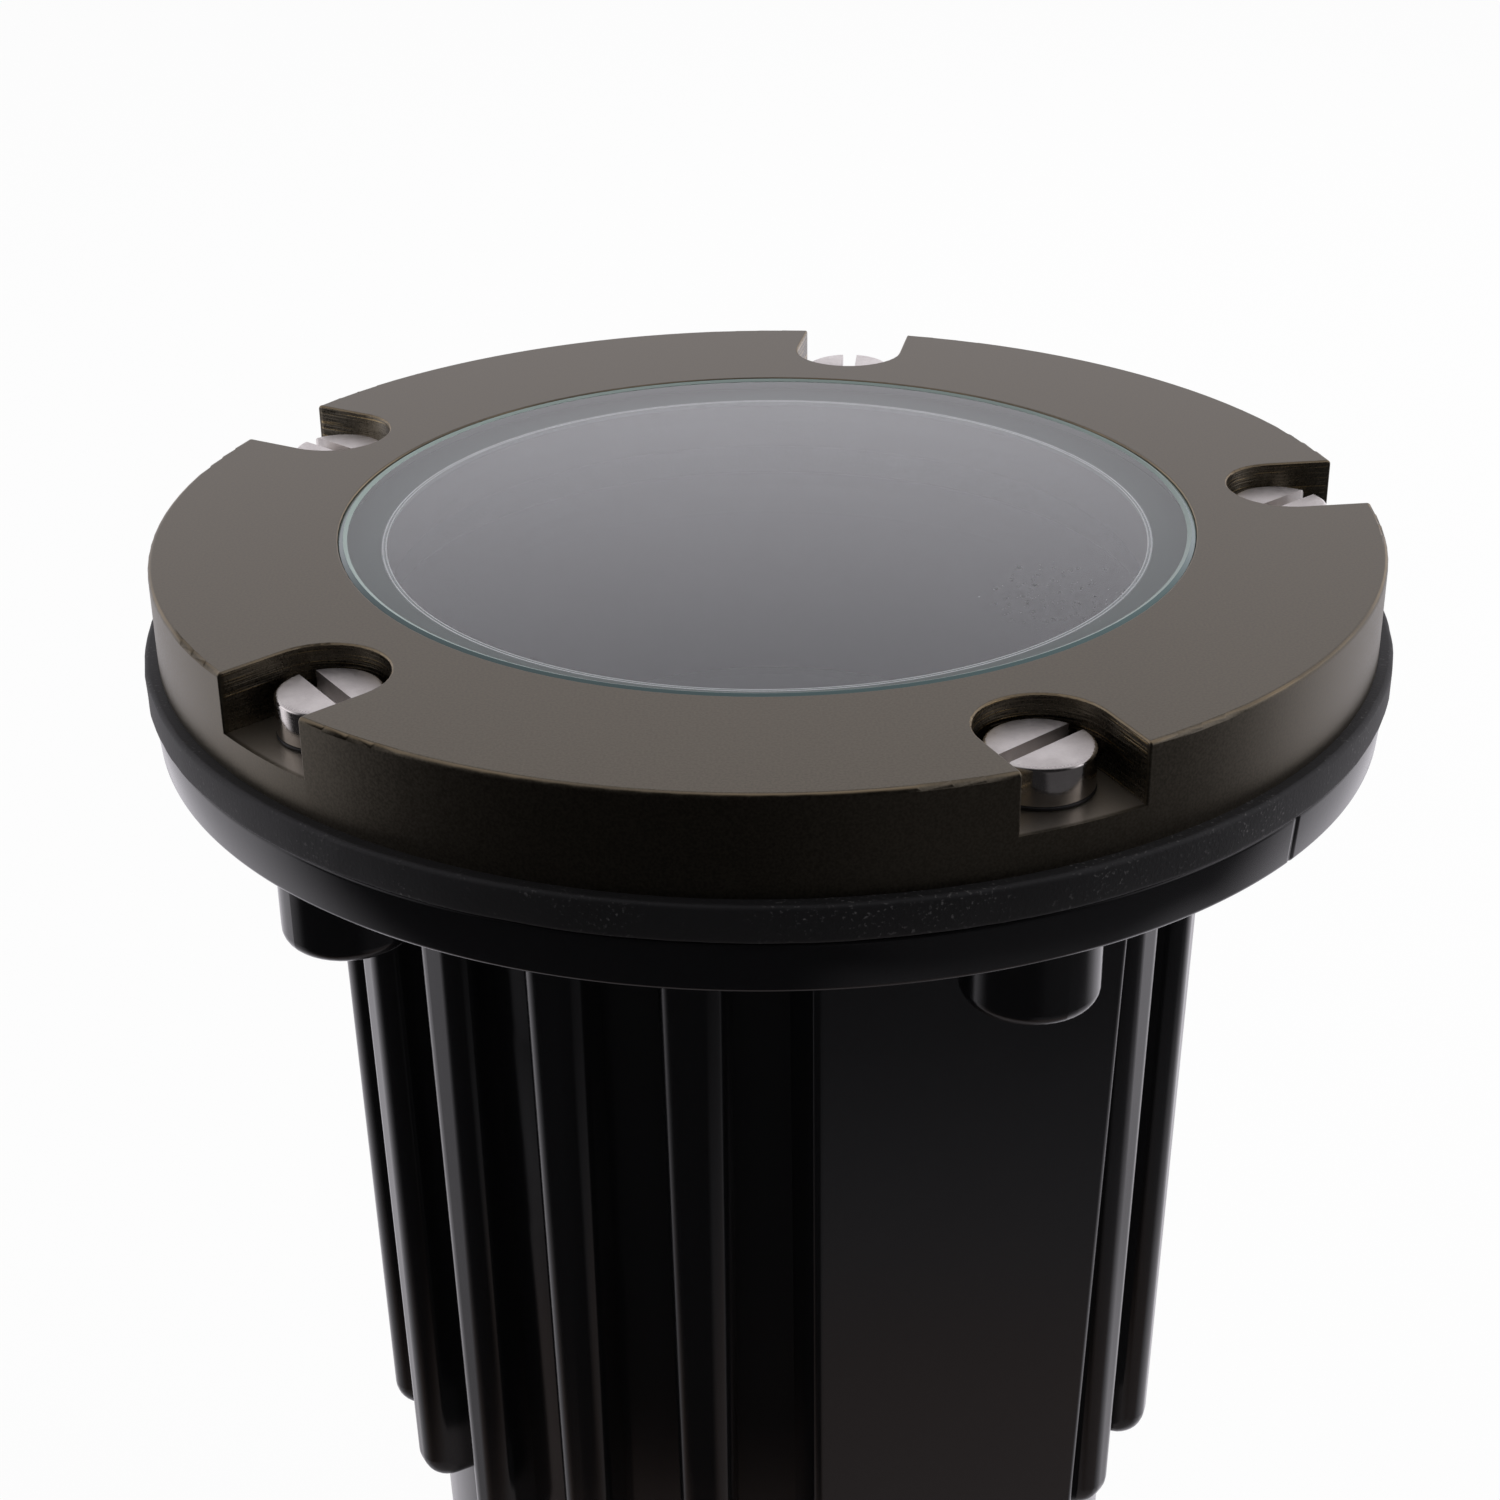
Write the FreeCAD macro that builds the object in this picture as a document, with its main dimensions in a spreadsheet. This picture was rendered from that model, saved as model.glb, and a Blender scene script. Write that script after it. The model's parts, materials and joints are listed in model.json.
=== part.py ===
"""In-ground well light: a ribbed housing, a notched face ring with a flush glass, and a lamp on a gimbal.

Millimetres and degrees. +Z points up, and the origin is the centre of the base that the light stands on.
The housing's flat panel looks along the clocking angle, and the first screw stands just beside it.
"""
import FreeCAD, Part
import math
import os
import re
import Sketcher

Vector = FreeCAD.Vector
UP = Vector(0, 0, 1)
SAME = 1e-4        # lengths that differ by less than this are equal
LONG_EDGE = 0.8    # share of a wall's height that makes an edge one of its long edges
FULL = 0.9         # share of what a rib can bear that its rounding may reach

# Driving dimensions: name, value and meaning.
SIZES = [
    # Whole light.
    ("total_height", 165, "base to top of face ring"),
    ("clock_angle", 296.6, "direction of the flat panel"),
    ("screw_turn", -1.2, "angle from the flat panel to the first screw"),
    ("screw_count", 5, "face screws, notches, bosses and inserts"),
    ("screw_inset", 7.6, "face screws inside the ring's outside"),
    ("running_gap", 0.05, "radial clearance of parts that turn or slide in each other"),
    ("press_gap", 0.02, "radial clearance of parts that are pressed or bonded in"),
    ("free_gap", 0.3, "radial clearance of a screw in a plain hole"),
    # Face ring.
    ("ring_radius", 60, "outside of the face ring"),
    ("ring_height", 9.4, "thickness of the face ring"),
    ("ring_edge", 0.45, "rounding of the ring's outer top edge"),
    ("rim_edge", 0.2, "rounding of the edges of the notches and of the opening"),
    ("opening_inset", 18, "ring's opening, inside the ring's outside"),
    ("seat_width", 4.5, "ledge in the ring that carries the glass"),
    ("notch_width", 12, "width of the screw notches"),
    ("notch_depth", 5.8, "depth of the screw notches"),
    ("notch_inset", 7, "round end of a notch, its centre inside the ring's outside"),
    # Glass, its seal and the flange gasket.
    ("glass_height", 4, "thickness of the glass"),
    ("glass_gap", 0.2, "clearance around the glass"),
    ("glass_sink", 0.15, "glass below the ring's top"),
    ("glass_bevel", 0.8, "rounding of the glass's top edge"),
    ("lens_seal_height", 0.5, "seal between the glass and the ring's ledge"),
    ("gasket_margin", 1.4, "flange gasket beyond the ring"),
    ("gasket_inset", 0.7, "flange gasket's mouth behind the ring's ledge"),
    ("gasket_height", 3.5, "thickness of the flange gasket"),
    # Housing.
    ("flange_margin", 1, "housing's flange beyond the ring, at its top"),
    ("flange_draft", 0.4, "how much the flange narrows towards its underside"),
    ("flange_height", 5, "thickness of the flange"),
    ("flange_round", 0.8, "rounding of the flange's lower edge"),
    ("wall", 2.6, "housing wall"),
    ("arm_room", 7.6, "arms' inner faces to the wall's inside, under the flange"),
    ("core_taper", 4.1, "how much the wall narrows towards the base"),
    ("base_bevel", 0.8, "bevel of the wall's lower edge"),
    ("floor_drop", 88, "floor's underside below the tilt axis"),
    ("floor_thickness", 4, "floor that carries the bracket and the gland"),
    ("post_radius", 6, "post under the swivel bracket"),
    ("post_height", 4, "post above the floor"),
    ("exit_width", 14, "cable exit in the skirt"),
    ("exit_height", 22, "top of the cable exit"),
    ("exit_round", 6, "rounding of the cable exit's top corners"),
    ("rib_stand", 4.1, "ribs beyond the wall, under the flange"),
    ("rib_taper", 1.7, "how much the ribs' outside narrows towards their foot"),
    ("rib_foot", 60.5, "height of the ribs' foot"),
    ("rib_width", 6.6, "width of a rib under the flange"),
    ("rib_draft", 0.7, "how much a rib narrows towards its foot, on each side"),
    ("rib_round", 2.2, "rounding along a rib's edges"),
    ("rib_foot_round", 3.2, "rounding of a rib's lower corner"),
    ("rib_pitch", 17.48, "angle from rib to rib"),
    ("rib_count", 18, "ribs beside the flat panel"),
    ("first_rib", 27, "angle from the panel to the first rib"),
    ("panel_width", 33.8, "width of the flat panel under the flange"),
    ("panel_draft", 2.65, "how much the panel narrows towards the base, on each side"),
    ("panel_stand", 1.4, "panel's face beyond the wall, under the flange"),
    ("panel_foot_stand", 1.3, "panel's face beyond the wall, at the base"),
    ("panel_round", 0.8, "rounding along the panel's edges"),
    ("boss_radius", 6.2, "screw bosses under the flange"),
    ("boss_height", 8.4, "screw bosses below the flange"),
    ("boss_round", 1.5, "rounding of a boss's lower edge"),
    ("web_width", 6, "gusset between a boss and the wall"),
    ("web_drop", 6.4, "depth of the gusset at the boss"),
    ("insert_radius", 4.2, "outside of a threaded insert"),
    ("insert_length", 9, "length of a threaded insert"),
    ("insert_relief", 1, "hole below a threaded insert"),
    # Face screws and their washers.
    ("screw_radius", 3, "screw thread"),
    ("screw_length", 16, "screw below its head"),
    ("screw_tip", 0.8, "bevel of the screw's tip"),
    ("head_radius", 4.85, "screw head"),
    ("head_height", 3.6, "height of a screw head"),
    ("head_round", 0.5, "rounding of a head's top edge"),
    ("slot_width", 1.6, "screwdriver slot"),
    ("slot_depth", 1.7, "depth of the slot"),
    ("washer_radius", 5.1, "outside of a face washer"),
    ("washer_height", 0.3, "thickness of a face washer"),
    # Swivel of the lamp bracket.
    ("swivel_radius", 3, "shank of the swivel screw"),
    ("swivel_grip", 7, "swivel screw below its head"),
    ("swivel_head", 4.5, "radius of the swivel screw's head"),
    ("swivel_head_height", 3, "height of the swivel screw's head"),
    ("swivel_relief", 1, "hole below the swivel screw"),
    ("swivel_washer_radius", 7, "outside of the swivel washer"),
    ("swivel_washer_height", 1, "thickness of the swivel washer"),
    # Lamp bracket, a bent strap.
    ("strap", 1.5, "thickness of the strap"),
    ("strap_width", 14, "width of the strap"),
    ("strap_bend", 3, "outside radius of the strap's bends"),
    ("arm_round", 5, "rounding of an arm's upper corners"),
    ("tilt_height", 128, "base to the tilt axis"),
    # Lamp ring, its screws and its spacers.
    ("rim_gap", 0.4, "lamp ring around the lamp's rim"),
    ("holder_wall", 1.8, "wall of the lamp ring"),
    ("holder_rise", 5, "lamp ring above the tilt axis"),
    ("holder_drop", 7, "lamp ring below the tilt axis"),
    ("ledge_depth", 2, "ledge under the lamp's rim"),
    ("ledge_height", 1.5, "thickness of the ledge"),
    ("pad_radius", 4.4, "pads that take the tilt screws"),
    ("pad_stand", 1.2, "a pad's face beyond the lamp ring"),
    ("tilt_radius", 2, "shank of a tilt screw"),
    ("tilt_bite", 1.6, "tilt screw inside its pad"),
    ("tilt_relief", 0.4, "hole below a tilt screw"),
    ("tilt_head", 4, "radius of a tilt screw's head"),
    ("tilt_head_height", 2.4, "height of a tilt screw's head"),
    ("spacer_radius", 4.2, "outside of a tilt spacer"),
    ("spacer_length", 2.4, "tilt spacer between pad and arm"),
    # Lamp and clip.
    ("rim_radius", 25.2, "lamp's front rim"),
    ("rim_height", 2.5, "thickness of the rim"),
    ("lamp_length", 43, "rim to the lamp's base"),
    ("rim_ledge", 2.4, "rim beyond the cup's mouth"),
    ("cup_taper", 3.8, "how much the cup narrows to its waist"),
    ("cup_depth", 32.5, "cup below the rim"),
    ("cup_waist_depth", 18, "waist below the rim"),
    ("cup_round", 26, "curve of the cup's side"),
    ("cup_wall", 1.5, "wall of the cup"),
    ("lamp_base", 9.5, "radius of the lamp's base"),
    ("lens_inset", 2.8, "front lens inside the lamp's rim"),
    ("lens_height", 2, "thickness of the front lens"),
    ("lens_round", 0.5, "rounding of the front lens's edge"),
    ("board_height", 1.6, "LED board"),
    ("emitter_radius", 3, "LED emitter"),
    ("emitter_height", 1.2, "height of the emitter"),
    ("clip_wire", 0.6, "radius of the clip's wire"),
    ("clip_opening", 50, "gap of the clip, as an angle"),
    # Pins, socket, leads and terminal block.
    ("pin_radius", 0.8, "lamp pins"),
    ("pin_length", 7, "length of the pins"),
    ("pin_relief", 0.5, "hole below a pin in the socket"),
    ("pin_spacing", 5.3, "pin to pin, lead to lead and pole to pole"),
    ("socket_width", 18, "socket across the tilt axis"),
    ("socket_depth", 15, "socket along the pins' row"),
    ("socket_height", 13, "height of the socket"),
    ("socket_round", 2, "rounding of the socket's upright edges"),
    ("lead_radius", 0.9, "insulated lead wire"),
    ("lead_exit", 3, "leads beside the lamp's axis"),
    ("lead_bend", 9, "bend of a lead"),
    ("block_near", 12, "axis to the terminal block"),
    ("block_length", 12, "terminal block along the leads"),
    ("block_width", 15, "terminal block across the leads"),
    ("block_height", 10, "height of the terminal block"),
    ("block_round", 0.8, "rounding of the block's upright edges"),
    ("entry_height", 5.5, "lead above the bracket where it enters the block"),
    ("pole_radius", 1.8, "terminal screws"),
    ("pole_sink", 2.5, "depth of a terminal screw's hole"),
    ("pole_drop", 0.6, "terminal screw below the block's top"),
    ("pole_inset", 3, "terminal screws from the ends of the block"),
    ("pole_slot", 0.7, "slot of a terminal screw"),
    # Cable gland.
    ("gland_offset", 19.5, "axis to the gland, on the side away from the panel"),
    ("gland_thread", 8, "gland's thread through the floor"),
    ("gland_stem", 7.6, "gland's lower thread"),
    ("gland_bore", 5, "gland's cable passage"),
    ("gland_flats", 20, "across the flats of the gland's hexagons"),
    ("gland_bevel", 0.6, "bevel of the hexagons"),
    ("gland_washer_radius", 10.6, "outside of the gland's flat washer"),
    ("gland_washer_height", 1.5, "thickness of that washer"),
    ("shoulder_height", 5.5, "gland's hexagon under the washer"),
    ("stem_height", 11, "lower thread below the hexagon"),
    ("locknut_height", 3.4, "locknut on the floor"),
    ("thread_stand", 0.5, "thread above the locknut"),
    ("seal_bore", 4, "cable hole of the rubber seal"),
    ("seal_radius", 6, "outside of the rubber seal"),
    ("seal_length", 9, "length of the rubber seal"),
    ("seal_seat", 1.5, "seal below the gland's stem"),
    ("nut_wall", 3.5, "cap nut under the seal"),
    ("nut_mouth", 4.6, "cable hole of the cap nut"),
    ("nut_height", 14, "height of the cap nut"),
    ("nut_bevel", 2.4, "bevel of the cap nut's lower end"),
]

# Sizes that follow from them: name, formula and meaning.
FOLLOWING = [
    ("screw_circle", "=ring_radius - screw_inset", "radius of the circle of face screws"),
    ("notch_circle", "=ring_radius - notch_inset", "radius of the circle of the notches' round ends"),
    ("lens_opening", "=ring_radius - opening_inset", "radius of the opening that shows the glass"),
    ("seat_mouth", "=lens_opening - seat_width", "inside of the ledge that carries the glass"),
    ("gasket_radius", "=ring_radius + gasket_margin", "outside of the flange gasket"),
    ("gasket_mouth", "=seat_mouth + gasket_inset", "inside of the flange gasket"),
    ("flange_radius", "=ring_radius + flange_margin", "outside of the housing's flange, at its top"),
    ("holder_radius", "=rim_radius + rim_gap + holder_wall", "outside of the lamp ring"),
    ("pad_reach", "=holder_radius + pad_stand", "axis to a pad's face"),
    ("arm_reach", "=pad_reach + spacer_length", "axis to the inner face of an arm"),
    ("core_top", "=arm_reach + arm_room + wall", "outside radius of the wall under the flange"),
    ("core_foot", "=core_top - core_taper", "outside radius of the wall at the base"),
    ("rib_top", "=core_top + rib_stand", "outside radius of the ribs under the flange"),
    ("rib_low", "=rib_top - rib_taper", "outside radius of the ribs at their foot"),
    ("panel_top", "=core_top + panel_stand", "axis to the panel's face under the flange"),
    ("panel_low", "=core_foot + panel_foot_stand", "axis to the panel's face at the base"),
    ("floor_height", "=tilt_height - floor_drop", "base to the underside of the floor"),
    ("cup_mouth", "=rim_radius - rim_ledge", "outside of the cup under the rim"),
    ("cup_waist", "=cup_mouth - cup_taper", "outside of the cup at half height"),
    ("lens_radius", "=rim_radius - lens_inset", "front lens of the lamp"),
]
ROWS = SIZES + FOLLOWING
NAMES = {name for name, value, meaning in ROWS}

doc = FreeCAD.newDocument("well_light")
sheet = doc.addObject("Spreadsheet::Sheet", "sizes")
for row, (name, value, meaning) in enumerate(ROWS, 1):
    sheet.set("A%d" % row, meaning)
    sheet.set("B%d" % row, str(value))
    sheet.setAlias("B%d" % row, name)
doc.recompute()
parts = []

# Heights that several pieces share, worked out from the driving dimensions.
RING_FOOT = "(total_height - ring_height)"
FLANGE_TOP = "(total_height - ring_height - gasket_height)"
FLANGE_FOOT = "(total_height - ring_height - gasket_height - flange_height)"
NOTCH_FLOOR = "(total_height - notch_depth)"
GLASS_TOP = "(total_height - glass_sink)"
GLASS_FOOT = "(%s - glass_height)" % GLASS_TOP
SEAT_TOP = "(%s - lens_seal_height)" % GLASS_FOOT
FLOOR_TOP = "(floor_height + floor_thickness)"
POST_TOP = "(floor_height + floor_thickness + post_height)"
STRAP_FOOT = "(%s + swivel_washer_height)" % POST_TOP
STRAP_TOP = "(%s + strap)" % STRAP_FOOT
SWIVEL_TIP = "(%s - swivel_grip)" % STRAP_TOP
SWIVEL_HOLE = "(%s - swivel_relief)" % SWIVEL_TIP
LEDGE_TOP = "(tilt_height - holder_drop + ledge_height)"
RIM_TOP = "(%s + rim_height)" % LEDGE_TOP
CUP_FOOT = "(%s - cup_depth)" % LEDGE_TOP
LAMP_FOOT = "(%s - lamp_length)" % RIM_TOP
BOARD_FOOT = "(%s + cup_wall)" % CUP_FOOT
SOCKET_FOOT = "(%s - socket_height)" % LAMP_FOOT
LEAD_ENTRY = "(%s + entry_height)" % STRAP_TOP
SHOULDER_TOP = "(floor_height - gland_washer_height)"
SHOULDER_FOOT = "(%s - shoulder_height)" % SHOULDER_TOP
STEM_FOOT = "(%s - stem_height)" % SHOULDER_FOOT
SEAL_FOOT = "(%s - seal_seat)" % STEM_FOOT
NUT_FOOT = "(%s - nut_wall)" % SEAL_FOOT
HOLDER_BORE = "(holder_radius - holder_wall)"
BOARD_RADIUS = "(lamp_base - cup_wall)"
SCREW_HOLE = "(screw_radius + free_gap)"

# Directions that bodies are turned to.
PANEL_SIDE = "clock_angle"
SCREW_SIDE = "(clock_angle + screw_turn)"


def core_at(height):
    """Outside radius of the housing's tapered wall at a height."""
    return "(core_foot + (core_top - core_foot) * (%s) / %s)" % (height, FLANGE_FOOT)


def full(text):
    """An expression whose plain names are looked up in the sheet of sizes."""
    def look_up(match):
        word = match.group()
        return "sizes." + word if word in NAMES else word
    return re.sub(r"[a-z_]+", look_up, str(text))


def bind(item, path, text):
    """Ties one property of an object to an expression in the sizes."""
    item.setExpression(path, full(text))


def measure(text):
    """The present value of an expression in the sizes."""
    return float(sheet.evalExpression(full(text)))


def new_body(label, side=None):
    """An empty body, turned so that its X axis looks to the side that is given."""
    body = doc.addObject("PartDesign::Body", label)
    body.Label = label
    body.AllowCompound = True
    if side:
        body.Placement = FreeCAD.Placement(Vector(), FreeCAD.Rotation(UP, 1))
        bind(body, "Placement.Rotation.Angle", side)
    parts.append(body)
    return body


def new_sketch(body, role, offset="0", turn=None, along="0"):
    """A sketch on an origin plane, lifted along its normal, moved along its X or turned about its Y."""
    plane = next(item for item in body.Origin.OriginFeatures if item.Role == role)
    sketch = body.newObject("Sketcher::SketchObject", body.Name + "_sketch")
    sketch.AttachmentSupport = [(plane, "")]
    sketch.MapMode = "FlatFace"
    if turn:
        sketch.AttachmentOffset = FreeCAD.Placement(Vector(), FreeCAD.Rotation(Vector(0, 1, 0), 1))
        bind(sketch, "AttachmentOffset.Rotation.Angle", turn)
    bind(sketch, "AttachmentOffset.Base.z", offset)
    bind(sketch, "AttachmentOffset.Base.x", along)
    return sketch


def fix_point(sketch, geometry, point, x, y):
    """Ties a point of a sketch to two expressions."""
    for kind, text in (("DistanceX", x), ("DistanceY", y)):
        number = sketch.addConstraint(Sketcher.Constraint(kind, -1, 1, geometry, point, measure(text)))
        bind(sketch, "Constraints[%d]" % number, text)


def outline(sketch, corners, closed=True):
    """Lines through corners (x, y) or (x, y, rounding), all given as expressions."""
    spots = [Vector(measure(corner[0]), measure(corner[1]), 0) for corner in corners]
    count = len(corners)
    lines = []
    for i in range(count if closed else count - 1):
        lines.append(sketch.addGeometry(Part.LineSegment(spots[i], spots[(i + 1) % count]), False))
    for i, corner in enumerate(corners):
        if not closed and i in (0, count - 1):
            fix_point(sketch, lines[min(i, count - 2)], 2 if i else 1, corner[0], corner[1])
        elif len(corner) == 2:
            sketch.addConstraint(Sketcher.Constraint("Coincident", lines[i - 1], 2, lines[i], 1))
            fix_point(sketch, lines[i], 1, corner[0], corner[1])
        else:
            neighbours = spots[i - 1], spots[(i + 1) % count]
            round_corner(sketch, lines[i - 1], lines[i], spots[i], neighbours, corner)


def round_corner(sketch, before, after, spot, neighbours, corner):
    """An arc between two lines, tangent to both, whose sharp corner stays where it was set."""
    radius = measure(corner[2])
    back = (neighbours[0] - spot).normalize()
    ahead = (neighbours[1] - spot).normalize()
    half = back.getAngle(ahead) / 2
    centre = spot + (back + ahead).normalize() * (radius / math.sin(half))
    first = spot + back * (radius / math.tan(half)) - centre
    last = spot + ahead * (radius / math.tan(half)) - centre
    forward = first.cross(last).z > 0
    low, high = (first, last) if forward else (last, first)
    start, end = math.atan2(low.y, low.x), math.atan2(high.y, high.x)
    arc = sketch.addGeometry(Part.ArcOfCircle(Part.Circle(centre, UP, radius), start, end), False)
    sketch.addConstraint(Sketcher.Constraint("Tangent", before, 2, arc, 1 if forward else 2))
    sketch.addConstraint(Sketcher.Constraint("Tangent", after, 1, arc, 2 if forward else 1))
    number = sketch.addConstraint(Sketcher.Constraint("Radius", arc, radius))
    bind(sketch, "Constraints[%d]" % number, corner[2])
    sharp = sketch.addGeometry(Part.Point(spot), True)
    sketch.addConstraint(Sketcher.Constraint("PointOnObject", sharp, 1, before))
    sketch.addConstraint(Sketcher.Constraint("PointOnObject", sharp, 1, after))
    fix_point(sketch, sharp, 1, corner[0], corner[1])


def circle(sketch, x, y, radius):
    """A circle given by expressions."""
    ring = Part.Circle(Vector(measure(x), measure(y), 0), UP, measure(radius))
    number = sketch.addGeometry(ring, False)
    fix_point(sketch, number, 3, x, y)
    constraint = sketch.addConstraint(Sketcher.Constraint("Radius", number, measure(radius)))
    bind(sketch, "Constraints[%d]" % constraint, radius)


def spin(body, sketch, axis="V_Axis", angle="360"):
    """Turns a sketch about one of its own axes."""
    turn = body.newObject("PartDesign::Revolution", body.Name + "_turn")
    turn.Profile = sketch
    turn.ReferenceAxis = (sketch, [axis])
    bind(turn, "Angle", angle)
    doc.recompute()
    return turn


def revolve(body, corners):
    """Turns an outline of (radius, height) corners about the body's Z axis."""
    sketch = new_sketch(body, "XZ_Plane")
    outline(sketch, corners)
    spin(body, sketch)


def pad(body, sketch, length, both_ways=False):
    """Thickens a sketch along its normal, or half to each side."""
    feature = body.newObject("PartDesign::Pad", body.Name + "_pad")
    feature.Profile = sketch
    if both_ways:
        feature.SideType = "Symmetric"
    bind(feature, "Length", length)
    doc.recompute()
    return feature


def pocket(body, sketch, length, upward=False):
    """Cuts a sketch into the body, downwards from its plane unless told otherwise."""
    before = body.Shape.Volume
    feature = body.newObject("PartDesign::Pocket", body.Name + "_pocket")
    feature.Profile = sketch
    feature.Reversed = upward
    bind(feature, "Length", length)
    doc.recompute()
    if not body.Shape.Volume < before:
        raise RuntimeError("a pocket of %s cuts nothing" % body.Label)
    return feature


def around(body, features, count, angle="360"):
    """Repeats features about the body's Z axis."""
    axis = next(item for item in body.Origin.OriginFeatures if item.Role == "Z_Axis")
    pattern = body.newObject("PartDesign::PolarPattern", body.Name + "_pattern")
    pattern.Originals = features
    pattern.Axis = (axis, [""])
    bind(pattern, "Angle", angle)
    bind(pattern, "Occurrences", count)
    body.Tip = pattern
    doc.recompute()


def is_straight(edge):
    """Whether an edge is a straight line."""
    ends = edge.valueAt(edge.FirstParameter), edge.valueAt(edge.LastParameter)
    return abs(ends[0].distanceToPoint(ends[1]) - edge.Length) < SAME


def middle_radius(edge):
    """Distance of an edge's middle from the Z axis."""
    return math.hypot(edge.CenterOfMass.x, edge.CenterOfMass.y)


def round_edges(body, radius, chosen):
    """Rounds the edges of a body that a test picks out."""
    base = body.Tip
    picked = ["Edge%d" % n for n, edge in enumerate(base.Shape.Edges, 1) if chosen(edge)]
    if not picked:
        raise RuntimeError("no edge of %s to round" % body.Label)
    fillet = body.newObject("PartDesign::Fillet", body.Name + "_fillet")
    fillet.Base = (base, picked)
    bind(fillet, "Radius", radius)
    body.Tip = fillet
    doc.recompute()


def upright_edges(body, radius):
    """Rounds the edges of a body that run straight up."""
    round_edges(body, radius, lambda e: is_straight(e) and e.BoundBox.ZLength > e.Length - SAME)


def place(body, x, y, z, turn="0"):
    """Puts a body at a spot, turned about the vertical."""
    body.Placement = FreeCAD.Placement(Vector(), FreeCAD.Rotation(UP, 1))
    for axis, text in (("x", x), ("y", y), ("z", z)):
        bind(body, "Placement.Base." + axis, text)
    bind(body, "Placement.Rotation.Angle", turn)


def hexagon(sketch, flats):
    """A hexagon about the sketch's origin, with flats to the left and right."""
    half, tall = "(%s / 2)" % flats, "(%s / sqrt(3))" % flats
    side = "(%s / sqrt(12))" % flats
    outline(sketch, [(half, "-" + side), (half, side), ("0", tall),
                     ("-" + half, side), ("-" + half, "-" + side), ("0", "-" + tall)])


def groove(body, corners):
    """Turns an outline of (radius, height) corners about the body's Z axis and cuts it away."""
    before = body.Shape.Volume
    sketch = new_sketch(body, "XZ_Plane")
    outline(sketch, corners)
    cut = body.newObject("PartDesign::Groove", body.Name + "_groove")
    cut.Profile = sketch
    cut.ReferenceAxis = (sketch, ["V_Axis"])
    cut.Angle = 360
    doc.recompute()
    if not body.Shape.Volume < before:
        raise RuntimeError("a groove of %s cuts nothing" % body.Label)


def tube(body, inner, outer, foot, top):
    """A plain ring about the body's Z axis."""
    revolve(body, [(inner, foot), (outer, foot), (outer, top), (inner, top)])


def disc(body, radius, foot, top, rounding=None):
    """A plain disc about the body's Z axis, with an optional rounded top edge."""
    edge = (radius, top, rounding) if rounding else (radius, top)
    revolve(body, [("0", foot), (radius, foot), edge, ("0", top)])


def screwdriver_slot(body, radius, top):
    """Cuts a slot along X right across a screw's head."""
    slot = new_sketch(body, "XY_Plane", top)
    half, reach = "(slot_width / 2)", "(2 * %s)" % radius
    outline(slot, [("-" + reach, "-" + half), (reach, "-" + half), (reach, half), ("-" + reach, half)])
    pocket(body, slot, "slot_depth")


# Housing and what is fixed to it.
def build_housing():
    """Wall of the moulded housing: tapered, with ribs, flat panel, screw bosses and cable exit."""
    body = new_body("housing", PANEL_SIDE)
    inside = "(core_foot / 2)"
    add_ribs(body, inside)
    add_panel(body, inside)
    revolve(body, [
        ("0", "0"), ("core_foot - base_bevel", "0"), (core_at("base_bevel"), "base_bevel"),
        ("core_top", FLANGE_FOOT), ("0", FLANGE_FOOT)])
    add_bosses(body)
    groove(body, [("0", "0"), ("core_foot - wall", "0"),
                  ("core_top - wall", FLANGE_FOOT), ("0", FLANGE_FOOT)])
    add_exit(body)


def build_flange():
    """The housing's flange on the wall's upper end, a piece of its own so that the chamber stays open."""
    body = new_body("housing_flange", SCREW_SIDE)
    inner = "(core_top - wall)"
    revolve(body, [(inner, FLANGE_FOOT), ("flange_radius - flange_draft", FLANGE_FOOT, "flange_round"),
                   ("flange_radius", FLANGE_TOP), (inner, FLANGE_TOP)])
    add_insert_holes(body, FLANGE_TOP, "flange_height")


def build_floor():
    """The housing's floor inside the wall, with the bracket's post and the gland's hole."""
    body = new_body("housing_floor", PANEL_SIDE)
    edge, bore = " - wall - running_gap", "(swivel_radius + press_gap)"
    revolve(body, [
        ("0", "floor_height"), (core_at("floor_height") + edge, "floor_height"),
        (core_at(FLOOR_TOP) + edge, FLOOR_TOP), ("post_radius", FLOOR_TOP), ("post_radius", POST_TOP),
        (bore, POST_TOP), (bore, SWIVEL_HOLE), ("0", SWIVEL_HOLE)])
    hole = new_sketch(body, "XY_Plane", FLOOR_TOP)
    circle(hole, "-gland_offset", "0", "gland_thread + free_gap")
    pocket(body, hole, "floor_thickness")


def add_ribs(body, inside):
    """Upright ribs that narrow downwards, with rounded edges and feet, on every side but the panel's."""
    side = new_sketch(body, "XZ_Plane", turn="first_rib")
    outline(side, [(inside, "rib_foot"), ("rib_low", "rib_foot", "rib_foot_round"),
                   ("rib_top", FLANGE_FOOT), (inside, FLANGE_FOOT)])
    rib = pad(body, side, "rib_width", both_ways=True)
    front = new_sketch(body, "YZ_Plane", turn="first_rib")
    for sign in ("", "-"):
        half, out = sign + "(rib_width / 2)", sign + "(rib_width / 2 + rib_draft)"
        outline(front, [(half, FLANGE_FOOT), (out, FLANGE_FOOT), (out, "rib_foot"),
                        (sign + "(rib_width / 2 - rib_draft)", "rib_foot")])
    drafts = pocket(body, front, "2 * rib_top", upward=True)
    around(body, [rib, drafts], "rib_count", "rib_pitch * (rib_count - 1)")
    tall = measure(FLANGE_FOOT + " - rib_foot") * LONG_EDGE
    reach = measure("rib_low")
    limits = "%s * (rib_width / 2 - rib_draft); %s * rib_foot_round" % (FULL, FULL)
    round_edges(body, "min(rib_round; %s)" % limits,
                lambda e: is_straight(e) and e.Length > tall and middle_radius(e) > reach)


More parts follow.
